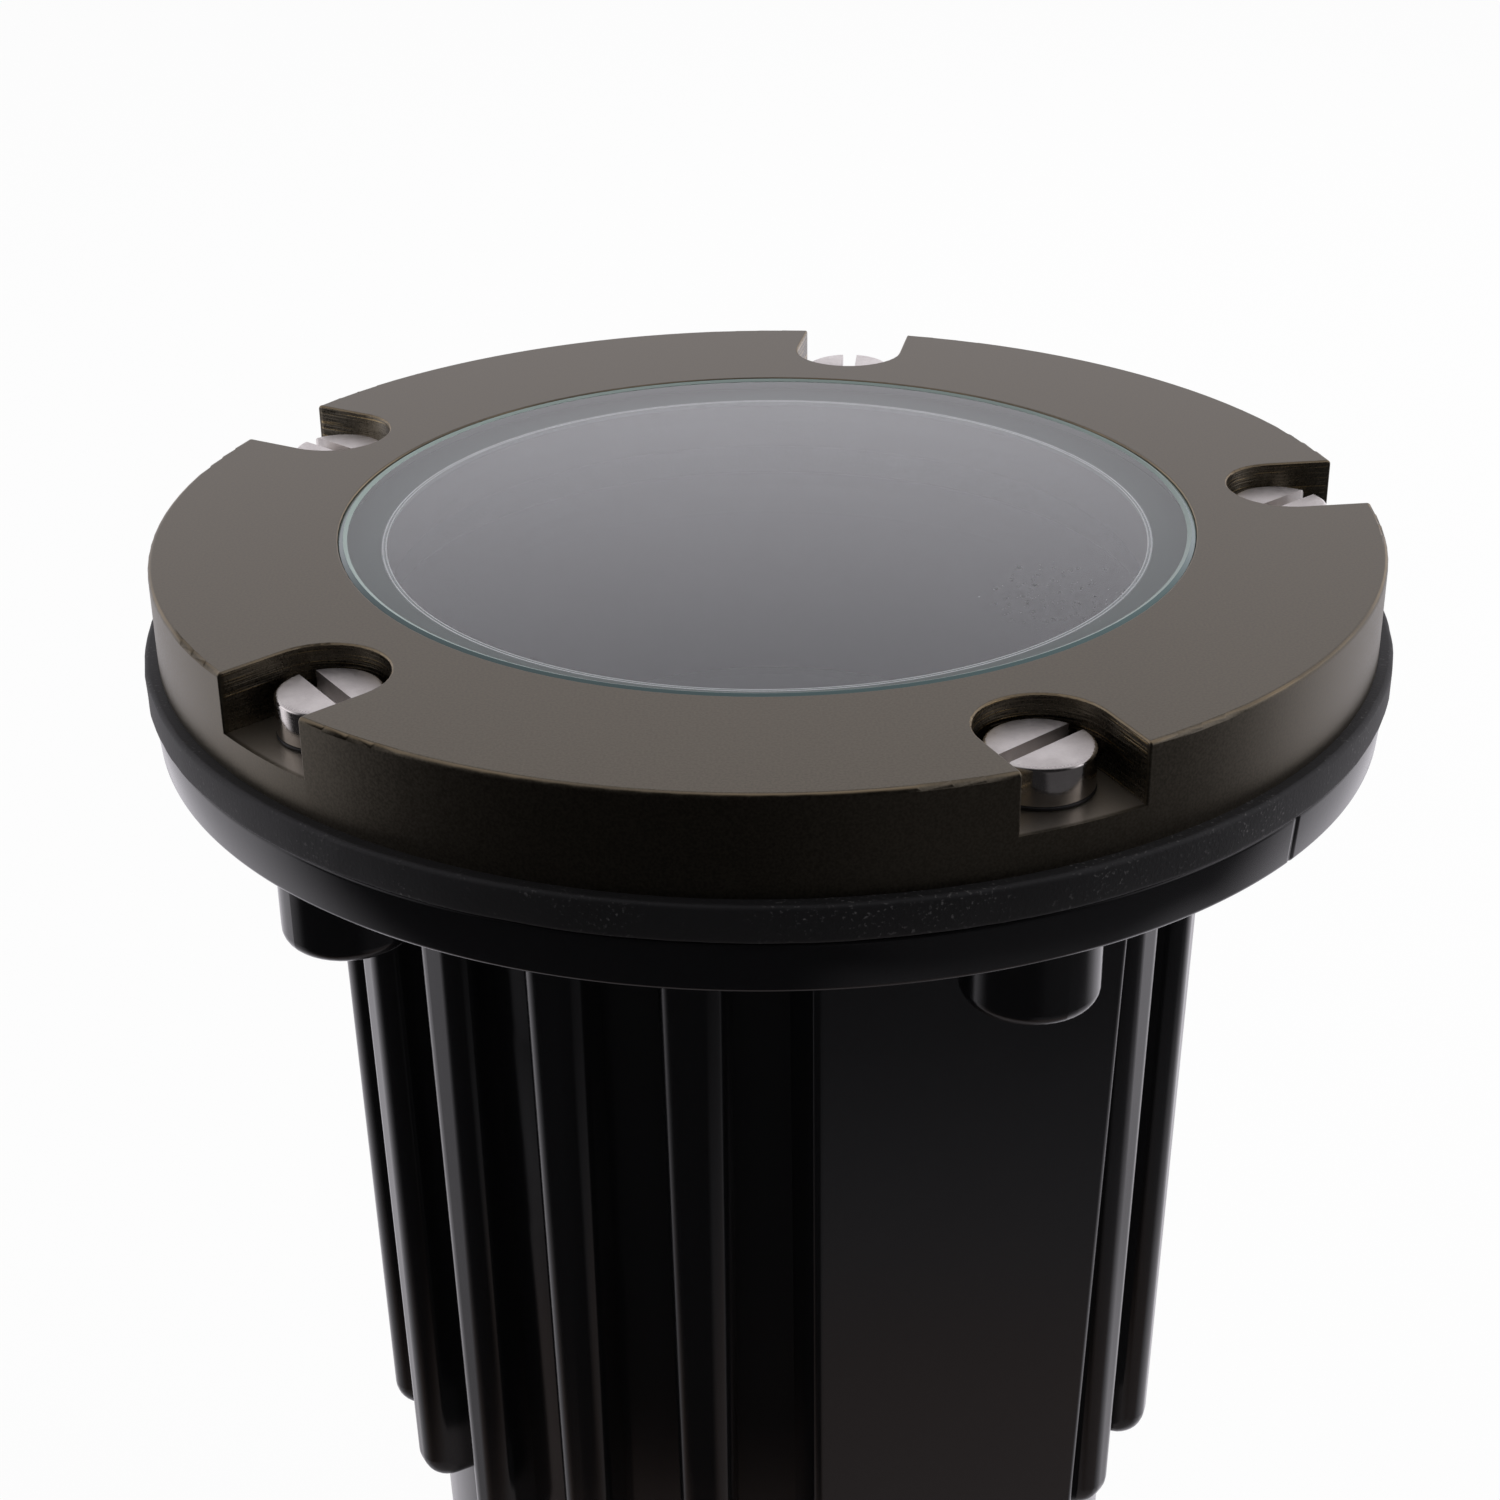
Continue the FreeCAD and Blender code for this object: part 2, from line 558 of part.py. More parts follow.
def add_panel(body, inside):
    """The flat panel, which runs from the flange to the base, and narrows and leans inwards downwards."""
    half, low, far = "(panel_width / 2)", "(panel_width / 2 - panel_draft)", "(panel_top + panel_low)"
    front = new_sketch(body, "YZ_Plane", inside)
    outline(front, [("-" + low, "0"), (low, "0"), (half, FLANGE_FOOT), ("-" + half, FLANGE_FOOT)])
    pad(body, front, "%s - %s" % (far, inside))
    side = new_sketch(body, "XZ_Plane", half)
    outline(side, [("panel_low", "0"), (far, "0"), (far, FLANGE_FOOT), ("panel_top", FLANGE_FOOT)])
    pocket(body, side, "panel_width")
    tall = measure(FLANGE_FOOT) * LONG_EDGE
    reach, middle = measure("(panel_low + panel_top) / 2"), measure("(panel_width - panel_draft) / 2")
    round_edges(body, "panel_round", lambda e: is_straight(e) and e.Length > tall
                and abs(e.CenterOfMass.x - reach) < SAME and abs(abs(e.CenterOfMass.y) - middle) < SAME)


def add_bosses(body):
    """Screw bosses under the flange, each with a gusset towards the wall and a hole for its insert."""
    foot = "(%s - boss_height)" % FLANGE_FOOT
    spot = "screw_circle * cos(screw_turn)", "screw_circle * sin(screw_turn)"
    half = new_sketch(body, "XZ_Plane", "-" + spot[1], along=spot[0])
    outline(half, [("0", foot), ("boss_radius", foot, "boss_round"),
                   ("boss_radius", FLANGE_FOOT), ("0", FLANGE_FOOT)])
    boss = spin(body, half)
    side = new_sketch(body, "XZ_Plane", turn="screw_turn")
    outline(side, [("core_top", FLANGE_FOOT), ("screw_circle", FLANGE_FOOT),
                   ("screw_circle", "%s - web_drop" % FLANGE_FOOT)])
    web = pad(body, side, "web_width", both_ways=True)
    around(body, [boss, web], "screw_count")
    add_insert_holes(body, FLANGE_FOOT, "insert_length + insert_relief - flange_height", spot)


def add_insert_holes(body, top, depth, spot=("screw_circle", "0")):
    """Holes that the threaded inserts are pressed into."""
    hole = new_sketch(body, "XY_Plane", top)
    circle(hole, *spot, "insert_radius + press_gap")
    around(body, [pocket(body, hole, depth)], "screw_count")


def add_exit(body):
    """The cable exit in the skirt, on the side away from the panel."""
    gate = new_sketch(body, "YZ_Plane")
    half = "(exit_width / 2)"
    outline(gate, [("-" + half, "0"), (half, "0"), (half, "exit_height", "exit_round"),
                   ("-" + half, "exit_height", "exit_round")])
    pocket(body, gate, "core_top")


def build_inserts():
    """Threaded brass inserts, one in each screw boss."""
    body = new_body("boss_inserts", SCREW_SIDE)
    plan = new_sketch(body, "XY_Plane", FLANGE_TOP + " - insert_length")
    circle(plan, "screw_circle", "0", "insert_radius")
    circle(plan, "screw_circle", "0", "screw_radius + running_gap")
    around(body, [pad(body, plan, "insert_length")], "screw_count")


def build_gasket():
    """Flat rubber gasket between the flange and the ring."""
    body = new_body("flange_gasket", SCREW_SIDE)
    tube(body, "gasket_mouth", "gasket_radius", FLANGE_TOP, RING_FOOT)
    add_screw_holes(body, RING_FOOT, "gasket_height")


def add_screw_holes(body, top, depth):
    """Plain holes for the face screws."""
    plan = new_sketch(body, "XY_Plane", top)
    circle(plan, "screw_circle", "0", SCREW_HOLE)
    around(body, [pocket(body, plan, depth)], "screw_count")


# Face ring with its glass.
def build_ring():
    """Face ring: a ledge under the glass, and notches that are open outwards around the screws."""
    body = new_body("face_ring", SCREW_SIDE)
    revolve(body, [
        ("seat_mouth", RING_FOOT), ("ring_radius", RING_FOOT), ("ring_radius", "total_height"),
        ("lens_opening", "total_height"), ("lens_opening", SEAT_TOP), ("seat_mouth", SEAT_TOP)])
    end = new_sketch(body, "XY_Plane", "total_height")
    circle(end, "notch_circle", "0", "notch_width / 2")
    mouth = new_sketch(body, "XY_Plane", "total_height")
    half = "(notch_width / 2)"
    outline(mouth, [("notch_circle", "-" + half), ("ring_radius + notch_width", "-" + half),
                    ("ring_radius + notch_width", half), ("notch_circle", half)])
    cuts = [pocket(body, end, "notch_depth"), pocket(body, mouth, "notch_depth")]
    around(body, cuts, "screw_count")
    add_screw_holes(body, NOTCH_FLOOR, "ring_height")
    level, reach = measure("total_height"), measure("ring_radius")
    for size, outer in (("ring_edge", True), ("rim_edge", False)):
        round_edges(body, size, lambda e: abs(e.BoundBox.ZMin - level) < SAME and not is_straight(e)
                    and (abs(e.Curve.Radius - reach) < SAME) == outer)


def build_glass():
    """Flat glass that lies flush in the ring's opening, bonded to the ledge by a flat seal."""
    edge = "(lens_opening - glass_gap)"
    disc(new_body("lens_glass"), edge, GLASS_FOOT, GLASS_TOP, "glass_bevel")
    tube(new_body("lens_seal"), "seat_mouth", edge, SEAT_TOP, GLASS_FOOT)


# Face screws, each with its washer. The slots stand as they were left on tightening.
SLOT_TURNS = [42, 40, 85, -40, -56]


def build_screws():
    """Slotted cheese-head screws and thin washers, each a piece of its own."""
    for i in range(round(measure("screw_count"))):
        turn = "(%s + 360 / screw_count * %d)" % (SCREW_SIDE, i)
        x, y = "screw_circle * cos(%s)" % turn, "screw_circle * sin(%s)" % turn
        screw = new_body("face_screw_%d" % (i + 1))
        revolve(screw, [
            ("0", "-screw_length"), ("screw_radius - screw_tip", "-screw_length"),
            ("screw_radius", "screw_tip - screw_length"), ("screw_radius", "0"), ("head_radius", "0"),
            ("head_radius", "head_height", "head_round"), ("0", "head_height")])
        screwdriver_slot(screw, "head_radius", "head_height")
        place(screw, x, y, NOTCH_FLOOR + " + washer_height", str(SLOT_TURNS[i % len(SLOT_TURNS)]))
        washer = new_body("face_washer_%d" % (i + 1))
        tube(washer, SCREW_HOLE, "washer_radius", "0", "washer_height")
        place(washer, x, y, NOTCH_FLOOR, turn)


# Swivel bracket.
def build_swivel():
    """Screw and washer that hold the bracket on the housing's post."""
    washer = new_body("swivel_washer")
    tube(washer, "swivel_radius + free_gap", "swivel_washer_radius", POST_TOP, STRAP_FOOT)
    screw = new_body("swivel_screw")
    top = "(%s + swivel_head_height)" % STRAP_TOP
    revolve(screw, [("0", SWIVEL_TIP), ("swivel_radius", SWIVEL_TIP), ("swivel_radius", STRAP_TOP),
                    ("swivel_head", STRAP_TOP), ("swivel_head", top, "head_round"), ("0", top)])
    screwdriver_slot(screw, "swivel_head", top)


def build_bracket():
    """Strap bent to a U: its base turns on the post, and its arms carry the lamp ring."""
    body = new_body("lamp_bracket")
    out, top = "(arm_reach + strap)", "(tilt_height + strap_width / 2)"
    side = new_sketch(body, "XZ_Plane")
    outline(side, [("-" + out, STRAP_FOOT, "strap_bend"), (out, STRAP_FOOT, "strap_bend"), (out, top),
                   ("arm_reach", top), ("arm_reach", STRAP_TOP, "strap_bend - strap"),
                   ("-arm_reach", STRAP_TOP, "strap_bend - strap"), ("-arm_reach", top), ("-" + out, top)])
    pad(body, side, "strap_width", both_ways=True)
    level = measure(top)
    thick = measure("strap")
    round_edges(body, "arm_round",
                lambda e: abs(e.CenterOfMass.z - level) < SAME and abs(e.Length - thick) < SAME)
    plan = new_sketch(body, "XY_Plane", STRAP_TOP)
    circle(plan, "0", "0", "swivel_radius + running_gap")
    pocket(body, plan, "strap")
    across = new_sketch(body, "YZ_Plane", out)
    circle(across, "0", "tilt_height", "tilt_radius + running_gap")
    pocket(body, across, "2 * " + out)


def build_terminals():
    """Terminal block on the bracket's base, with its sunk screws."""
    far = "(block_near + block_length)"
    half = "(block_width / 2)"
    body = new_body("terminal_block")
    plan = new_sketch(body, "XY_Plane", STRAP_TOP)
    outline(plan, [("-" + far, "-" + half), ("-block_near", "-" + half),
                   ("-block_near", half), ("-" + far, half)])
    pad(body, plan, "block_height")
    upright_edges(body, "block_round")
    rows = ["-(block_near + pole_inset)", "-(%s - pole_inset)" % far]
    columns = ["(pin_spacing / 2)", "-(pin_spacing / 2)"]
    top = "(%s + block_height)" % STRAP_TOP
    holes = new_sketch(body, "XY_Plane", top)
    screws = new_body("terminal_screws")
    shanks = new_sketch(screws, "XY_Plane", top + " - pole_sink")
    for x in rows:
        for y in columns:
            circle(holes, x, y, "pole_radius + press_gap")
            circle(shanks, x, y, "pole_radius")
    pocket(body, holes, "pole_sink")
    pad(screws, shanks, "pole_sink - pole_drop")
    slots = new_sketch(screws, "XY_Plane", top + " - pole_drop")
    for x in rows:
        outline(slots, [(x + " - pole_slot / 2", "-" + half), (x + " + pole_slot / 2", "-" + half),
                        (x + " + pole_slot / 2", half), (x + " - pole_slot / 2", half)])
    pocket(screws, slots, "pole_slot")


# Lamp on its tilting ring.
def build_lamp_ring():
    """Gimbal ring: a ledge under the lamp's rim and a pad at each end of the tilt axis."""
    body = new_body("lamp_ring")
    foot, top = "(tilt_height - holder_drop)", "(tilt_height + holder_rise)"
    ledge = "(%s - ledge_depth)" % HOLDER_BORE
    revolve(body, [(ledge, foot), ("holder_radius", foot), ("holder_radius", top),
                   (HOLDER_BORE, top), (HOLDER_BORE, LEDGE_TOP), (ledge, LEDGE_TOP)])
    mid_wall = "(holder_radius - holder_wall / 2)"
    face = new_sketch(body, "YZ_Plane", mid_wall)
    circle(face, "0", "tilt_height", "pad_radius")
    around(body, [pad(body, face, "pad_reach - " + mid_wall)], "2")
    eye = new_sketch(body, "YZ_Plane", "pad_reach")
    circle(eye, "0", "tilt_height", "tilt_radius + press_gap")
    around(body, [pocket(body, eye, "tilt_bite + tilt_relief")], "2")


def turned_on_tilt_axis(label, corners):
    """A pair of pieces turned about the tilt axis from (reach, radius) corners, one on each side."""
    body = new_body(label)
    sketch = new_sketch(body, "XY_Plane", "tilt_height")
    outline(sketch, corners)
    around(body, [spin(body, sketch, "H_Axis")], "2")


def build_tilt_screws():
    """Screws through the arms into the lamp ring, with spacers between ring and arms."""
    out, hole = "(arm_reach + strap)", "(tilt_radius + free_gap)"
    tip, end = "(pad_reach - tilt_bite)", "(%s + tilt_head_height)" % out
    turned_on_tilt_axis("tilt_screws", [
        (tip, "0"), (end, "0"), (end, "tilt_head", "head_round"), (out, "tilt_head"),
        (out, "tilt_radius"), (tip, "tilt_radius")])
    turned_on_tilt_axis("tilt_spacers", [
        ("pad_reach", hole), ("arm_reach", hole),
        ("arm_reach", "spacer_radius"), ("pad_reach", "spacer_radius")])


def build_lamp():
    """Reflector lamp: a cup with a rim, a front lens, an LED board with its emitter, and two pins."""
    waist = "(%s - cup_waist_depth)" % LEDGE_TOP
    lens_foot = "(%s - lens_height)" % RIM_TOP
    board_top = "(%s + board_height)" % BOARD_FOOT
    seat = "(%s + press_gap)" % BOARD_RADIUS
    mouth = "(lens_radius + press_gap)"
    emitter_top = "(%s + emitter_height)" % board_top
    revolve(new_body("lamp_shell"), [
        ("0", LAMP_FOOT), ("lamp_base", LAMP_FOOT), ("lamp_base", CUP_FOOT),
        ("cup_waist", waist, "cup_round"), ("cup_mouth", LEDGE_TOP), ("rim_radius", LEDGE_TOP),
        ("rim_radius", RIM_TOP), (mouth, RIM_TOP), (mouth, lens_foot), ("cup_mouth - cup_wall", lens_foot),
        ("cup_waist - cup_wall", waist, "cup_round"), (seat, board_top), (seat, BOARD_FOOT),
        ("0", BOARD_FOOT)])
    disc(new_body("lamp_lens"), "lens_radius", lens_foot, RIM_TOP, "lens_round")
    disc(new_body("led_board"), BOARD_RADIUS, BOARD_FOOT, board_top)
    disc(new_body("led_emitter"), "emitter_radius", board_top, emitter_top, "head_round")
    pins = new_body("lamp_pins")
    plan = new_sketch(pins, "XY_Plane", LAMP_FOOT + " - pin_length")
    for side in ("-", ""):
        circle(plan, "0", side + "(pin_spacing / 2)", "pin_radius")
    pad(pins, plan, "pin_length")


def build_clip():
    """Open wire ring that keeps the lamp's rim on its ledge."""
    body = new_body("lamp_clip")
    wire = new_sketch(body, "XZ_Plane")
    reach, level = "(%s - clip_wire - 2 * running_gap)", "(%s + clip_wire + press_gap)"
    circle(wire, reach % HOLDER_BORE, level % RIM_TOP, "clip_wire")
    spin(body, wire, angle="360 - clip_opening")


def build_socket():
    """Pin socket behind the lamp, and the two leads from it to the terminal block."""
    body = new_body("lamp_socket")
    wide, deep = "(socket_width / 2)", "(socket_depth / 2)"
    plan = new_sketch(body, "XY_Plane", SOCKET_FOOT)
    outline(plan, [("-" + wide, "-" + deep), (wide, "-" + deep), (wide, deep), ("-" + wide, deep)])
    pad(body, plan, "socket_height")
    upright_edges(body, "socket_round")
    holes = new_sketch(body, "XY_Plane", LAMP_FOOT)
    for side in ("-", ""):
        circle(holes, "0", side + "(pin_spacing / 2)", "pin_radius + running_gap")
    pocket(body, holes, "pin_length + pin_relief")
    for label, side in (("front_lead", ""), ("rear_lead", "-")):
        build_lead(label, side)


def build_lead(label, side):
    """Insulated wire: down from the socket, round one bend and into the terminal block."""
    body = new_body(label)
    path = new_sketch(body, "XZ_Plane", side + "(pin_spacing / 2)")
    outline(path, [("lead_exit", SOCKET_FOOT), ("lead_exit", LEAD_ENTRY, "lead_bend"),
                   ("-block_near", LEAD_ENTRY)], closed=False)
    section = new_sketch(body, "XY_Plane", SOCKET_FOOT)
    circle(section, "lead_exit", ("" if side else "-") + "(pin_spacing / 2)", "lead_radius")
    pipe = body.newObject("PartDesign::AdditivePipe", label + "_pipe")
    pipe.Profile = section
    pipe.Spine = path
    doc.recompute()
    length = path.Shape.Length
    fill = body.Shape.Volume / (math.pi * measure("lead_radius") ** 2 * length)
    print("%s: %.1f mm long, bend %.1f mm, volume %.4f of section times length"
          % (label, length, measure("lead_bend"), fill))


# Cable gland in the floor.
def gland_body(label):
    """An empty body on the gland's own axis."""
    body = new_body(label)
    place(body, "-gland_offset * cos(clock_angle)", "-gland_offset * sin(clock_angle)", "0", "clock_angle")
    return body


def hex_ring(body, bore, foot, height):
    """A hexagonal collar with a round bore."""
    plan = new_sketch(body, "XY_Plane", foot)
    hexagon(plan, "gland_flats")
    circle(plan, "0", "0", bore)
    pad(body, plan, height)


def bevel_corners(body, bevel, foot):
    """Turns the lower corners of a hexagonal piece to a cone."""
    corner = "(gland_flats / sqrt(3) + press_gap)"
    groove(body, [(corner + " - " + bevel, foot), (corner, foot), (corner, "%s + %s" % (foot, bevel))])


def build_gland():
    """Cable gland: body, flat washer, locknut, rubber seal and cap nut."""
    seal_hole = "(seal_radius + running_gap)"
    seal_top = "(%s + seal_length)" % SEAL_FOOT
    thread_top = "(%s + locknut_height + thread_stand)" % FLOOR_TOP
    body = gland_body("gland_body")
    revolve(body, [(seal_hole, STEM_FOOT), ("gland_stem", STEM_FOOT), ("gland_stem", SHOULDER_FOOT),
                   ("gland_thread", SHOULDER_FOOT), ("gland_thread", thread_top),
                   ("gland_bore", thread_top), ("gland_bore", seal_top), (seal_hole, seal_top)])
    hex_ring(body, "(seal_radius + gland_stem) / 2", SHOULDER_FOOT, "shoulder_height")
    bevel_corners(body, "gland_bevel", SHOULDER_FOOT)
    washer = gland_body("gland_washer")
    tube(washer, "gland_thread + free_gap", "gland_washer_radius", SHOULDER_TOP, "floor_height")
    locknut = gland_body("gland_locknut")
    hex_ring(locknut, "gland_thread + press_gap", FLOOR_TOP, "locknut_height")
    bevel_corners(locknut, "gland_bevel", FLOOR_TOP)
    tube(gland_body("gland_seal"), "seal_bore", "seal_radius", SEAL_FOOT, seal_top)
    nut = gland_body("gland_nut")
    hex_ring(nut, "nut_mouth", NUT_FOOT, "nut_height")
    thread = new_sketch(nut, "XY_Plane", NUT_FOOT + " + nut_height")
    circle(thread, "0", "0", "gland_stem + running_gap")
    pocket(nut, thread, "nut_height - nut_wall")
    bevel_corners(nut, "nut_bevel", NUT_FOOT)


def check_and_write():
    """Writes each piece to its own file once every object of the document is sound."""
    doc.recompute()
    for item in doc.Objects:
        if "Invalid" in item.State or "Error" in item.State:
            raise RuntimeError("%s is %s" % (item.Label, item.State))
    os.makedirs("parts", exist_ok=True)
    for piece in parts:
        if piece.Shape.isNull() or not piece.Shape.isValid() or not piece.Shape.Solids:
            raise RuntimeError("%s has no sound solid" % piece.Label)
    for piece in parts:
        piece.Shape.exportStep("parts/%s.step" % piece.Label)
        box = piece.Shape.BoundBox
        print("%-16s %2d solids %10.1f mm3  z %.1f..%.1f" % (
            piece.Label, len(piece.Shape.Solids), piece.Shape.Volume, box.ZMin, box.ZMax))


build_housing()
build_flange()
build_floor()
build_inserts()
build_gasket()
build_gland()
build_ring()
build_glass()
build_screws()
build_swivel()
build_bracket()
build_terminals()
build_lamp_ring()
build_tilt_screws()
build_lamp()
build_clip()
build_socket()
check_and_write()
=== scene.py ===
# %% [markdown]
# # An in-ground well light
# This script dresses a CAD model of a well light: a bronzed ring with a thick glass in it, screwed
# to a ribbed black housing that is buried up to its flange. The CAD solids come in as a fixed
# frame. Some of them only get a finish here, and some are replaced by finer pieces.

# %% Load the frame
import json
import math

import bmesh
import bpy
from mathutils import Matrix, Vector
from mathutils.noise import noise as noise_value


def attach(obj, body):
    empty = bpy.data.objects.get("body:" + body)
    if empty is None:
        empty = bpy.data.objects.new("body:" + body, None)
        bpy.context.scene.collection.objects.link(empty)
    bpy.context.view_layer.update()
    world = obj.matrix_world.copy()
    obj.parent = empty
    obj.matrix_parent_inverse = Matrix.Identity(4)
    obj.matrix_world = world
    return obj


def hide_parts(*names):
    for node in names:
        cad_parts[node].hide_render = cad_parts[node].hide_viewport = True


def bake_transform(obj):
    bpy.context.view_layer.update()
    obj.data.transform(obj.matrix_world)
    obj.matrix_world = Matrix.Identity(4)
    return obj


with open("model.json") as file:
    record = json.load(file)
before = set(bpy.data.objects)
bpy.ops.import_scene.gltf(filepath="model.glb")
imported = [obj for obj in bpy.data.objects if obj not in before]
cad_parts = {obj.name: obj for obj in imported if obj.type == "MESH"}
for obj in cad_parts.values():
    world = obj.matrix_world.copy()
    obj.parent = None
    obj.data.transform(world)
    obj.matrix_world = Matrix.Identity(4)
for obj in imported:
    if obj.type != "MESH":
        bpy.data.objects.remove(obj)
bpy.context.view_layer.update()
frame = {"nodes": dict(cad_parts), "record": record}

MM = 0.001
scene = bpy.context.scene
print("CAD nodes:", len(frame["nodes"]))

# %% [markdown]
# ## Camera
# The photograph looks down on the ring from close by. A camera can be placed by eye, but the ring
# and its opening show as two ellipses, and the lens and the viewing angle follow from them. So the
# camera is set by numbers: where it stands, how far it looks down, and how far it leans sideways.

# %% Camera
RING_TOP = 0.165
EYE_DISTANCE, EYE_RISE = 0.2575, math.radians(21.41)
YAW, PITCH, ROLL = (math.radians(angle) for angle in (-0.453, 26.613, -0.653))
SENSOR_WIDTH, NEAR_CLIP = 36.0, 0.01
FOCAL_PIXELS, PHOTO_PIXELS = 2595.0, 1500.0

camera_data = bpy.data.cameras.new("camera")
camera_data.sensor_width = SENSOR_WIDTH
camera_data.lens = SENSOR_WIDTH * FOCAL_PIXELS / PHOTO_PIXELS
camera_data.clip_start = NEAR_CLIP
camera = bpy.data.objects.new("camera", camera_data)
scene.collection.objects.link(camera)
scene.camera = camera

eye_back, eye_up = EYE_DISTANCE * math.cos(EYE_RISE), EYE_DISTANCE * math.sin(EYE_RISE)
eye = Vector((0, -eye_back, RING_TOP + eye_up))
ahead = Vector((math.sin(YAW) * math.cos(PITCH), math.cos(YAW) * math.cos(PITCH), -math.sin(PITCH)))
level = ahead.cross(Vector((0, 0, 1))).normalized()
upward = level.cross(ahead)
right = math.cos(ROLL) * level + math.sin(ROLL) * upward
up = math.cos(ROLL) * upward - math.sin(ROLL) * level
turn = Matrix((right, up, -ahead)).transposed()
camera.matrix_world = Matrix.Translation(eye) @ turn.to_4x4()
print("camera at", [round(c, 4) for c in eye], "lens", round(camera_data.lens, 2), "mm")

# %% [markdown]
# ## Node helpers
# The studio and all the finishes are built from the same few nodes. Each could be placed and wired
# line by line, but then the recipe gets lost in the wiring. So a helper places one node with its
# settings and inputs, and a few more give the output of a sum, a ramp or a blend.

# %% Node helpers


def add_node(tree, kind, inputs, **settings):
    """A node with its settings, and inputs (by name or number) that are sockets or values."""
    node = tree.nodes.new(kind)
    for label, value in settings.items():
        setattr(node, label, value)
    for label, value in inputs.items():
        if isinstance(value, bpy.types.NodeSocket):
            tree.links.new(value, node.inputs[label])
        else:
            node.inputs[label].default_value = value
    return node


def math_node(tree, operation, first, second=None, clamp=False):
    """The output of a Math node whose inputs are sockets or numbers."""
    inputs = {0: first} if second is None else {0: first, 1: second}
    node = add_node(tree, "ShaderNodeMath", inputs, operation=operation, use_clamp=clamp)
    return node.outputs[0]


def vector_node(tree, operation, first, second):
    """A Vector Math node whose inputs are sockets or vectors."""
    return add_node(tree, "ShaderNodeVectorMath", {0: first, 1: second}, operation=operation)


def length_node(tree, x, y):
    """The output that holds the length of a flat vector."""
    squares = [math_node(tree, "MULTIPLY", side, side) for side in (x, y)]
    return math_node(tree, "SQRT", math_node(tree, "ADD", *squares))


def ramp_node(tree, value, low, high, start=0.0, end=1.0):
    """The output of a smooth step from start to end while a value goes from low to high."""
    ends = {"From Min": low, "From Max": high, "To Min": start, "To Max": end}
    node = add_node(tree, "ShaderNodeMapRange", {"Value": value, **ends},
                    interpolation_type="SMOOTHSTEP")
    return node.outputs["Result"]


def mix_color(tree, factor, first, second):
    """The output of a blend from one colour or socket to another."""
    first, second = ((*c, 1.0) if isinstance(c, tuple) else c for c in (first, second))
    inputs = {"Factor": factor, "A": first, "B": second}
    return add_node(tree, "ShaderNodeMix", inputs, data_type="RGBA").outputs["Result"]


def coordinates(tree, kind):
    """A Texture Coordinate output, such as Object, which is in metres."""
    return tree.nodes.new("ShaderNodeTexCoord").outputs[kind]


def coordinate(tree, kind, axis):
    """One axis of a Texture Coordinate output."""
    return add_node(tree, "ShaderNodeSeparateXYZ", {0: coordinates(tree, kind)}).outputs[axis]


print("node helpers: single nodes, sums, ramps, blends and coordinates")

# %% [markdown]
# ## World
# The light stood on white, with the room dark on the side of the camera: the ring's front wall and
# the front of the housing are almost black, while both flanks and the glass mirror the white
# surroundings. A picture of a studio could light it, but a few ramps are easier to steer. So the
# world is brightest behind, just above the horizon, and fades to dark towards the viewer. Straight
# to the camera it is plain white.

# %% World
DARK_SIDE = 0.02
WALL_TINT, WHITE = (0.97, 0.94, 1.0), (1.0, 1.0, 1.0)
SIDE_FADE = (-0.62, -0.05, DARK_SIDE, 1.0)
HORIZON_FADE, HEIGHT_FADE = (0.02, 0.26, 0.5, 1.0), (0.22, 0.50, 1.45, 0.60)

world = bpy.data.worlds.new("studio")
scene.world = world
world.use_nodes = True
sky = world.node_tree
sky.nodes.clear()
in_view = sky.nodes.new("ShaderNodeLightPath").outputs["Is Camera Ray"]
side = ramp_node(sky, coordinate(sky, "Generated", "Y"), *SIDE_FADE)
rise = coordinate(sky, "Generated", "Z")
height = math_node(sky, "MULTIPLY", ramp_node(sky, rise, *HORIZON_FADE),
                   ramp_node(sky, rise, *HEIGHT_FADE))
lit = math_node(sky, "MULTIPLY", side, height)
backdrop = add_node(sky, "ShaderNodeBackground", {
    "Strength": math_node(sky, "MAXIMUM", in_view, lit),
    "Color": mix_color(sky, in_view, WALL_TINT, WHITE)})
add_node(sky, "ShaderNodeOutputWorld", {"Surface": backdrop.outputs[0]})
scene.view_settings.view_transform = "Standard"
print("world:", len(sky.nodes), "nodes")

# %% [markdown]
# ## Floor
# The part stands on a white table, and its glossy plastic mirrors how light falls there: bright
# behind and at the left, dark in front, with a brown cast near the part. Close by, light also
# bounces back from the right and from in front, and shows on the ribs and the flat panel. Lamps
# could make such patches, but they would light everything else too. So the floor's own material
# says how bright each place is in a reflection. Straight to the camera it is white, and for soft
# light it stays a matte surface that takes a shadow.

# %% Floor
FLOOR_REACH, FLOOR_GREY, VIEW_SHARE = 6.0, 0.8, 0.95
BROWN_CAST = (1.0, 0.72, 0.62)
BACK_SLOPE, BACK_FADE = -0.08, (-0.09, 0.08, DARK_SIDE, 1.0)
BOUNCE_SLOPE, BOUNCE_FADE = 0.4, (-0.05, 0.05)
RIGHT_BOUNCE, FAR_BOUNCE = (0.0, 0.06, 0.0, 0.26), (0.03, 0.13, 0.0, 0.07)
NEAR_BY, FRONT_GLOW = (0.08, 0.30, 1.0, 0.0), (0.080, 0.130, 0.32, 0.0)
PLAIN_WHERE_BRIGHT, PLAIN_WHERE_FAR = (0.05, 0.45), (0.10, 0.18)

floor_mesh = bpy.data.meshes.new("floor")
floor_sides = ((-1, -1), (1, -1), (1, 1), (-1, 1))
floor_corners = [(x * FLOOR_REACH, y * FLOOR_REACH, 0) for x, y in floor_sides]
floor_mesh.from_pydata(floor_corners, [], [(0, 1, 2, 3)])
floor = bpy.data.objects.new("floor", floor_mesh)
scene.collection.objects.link(floor)

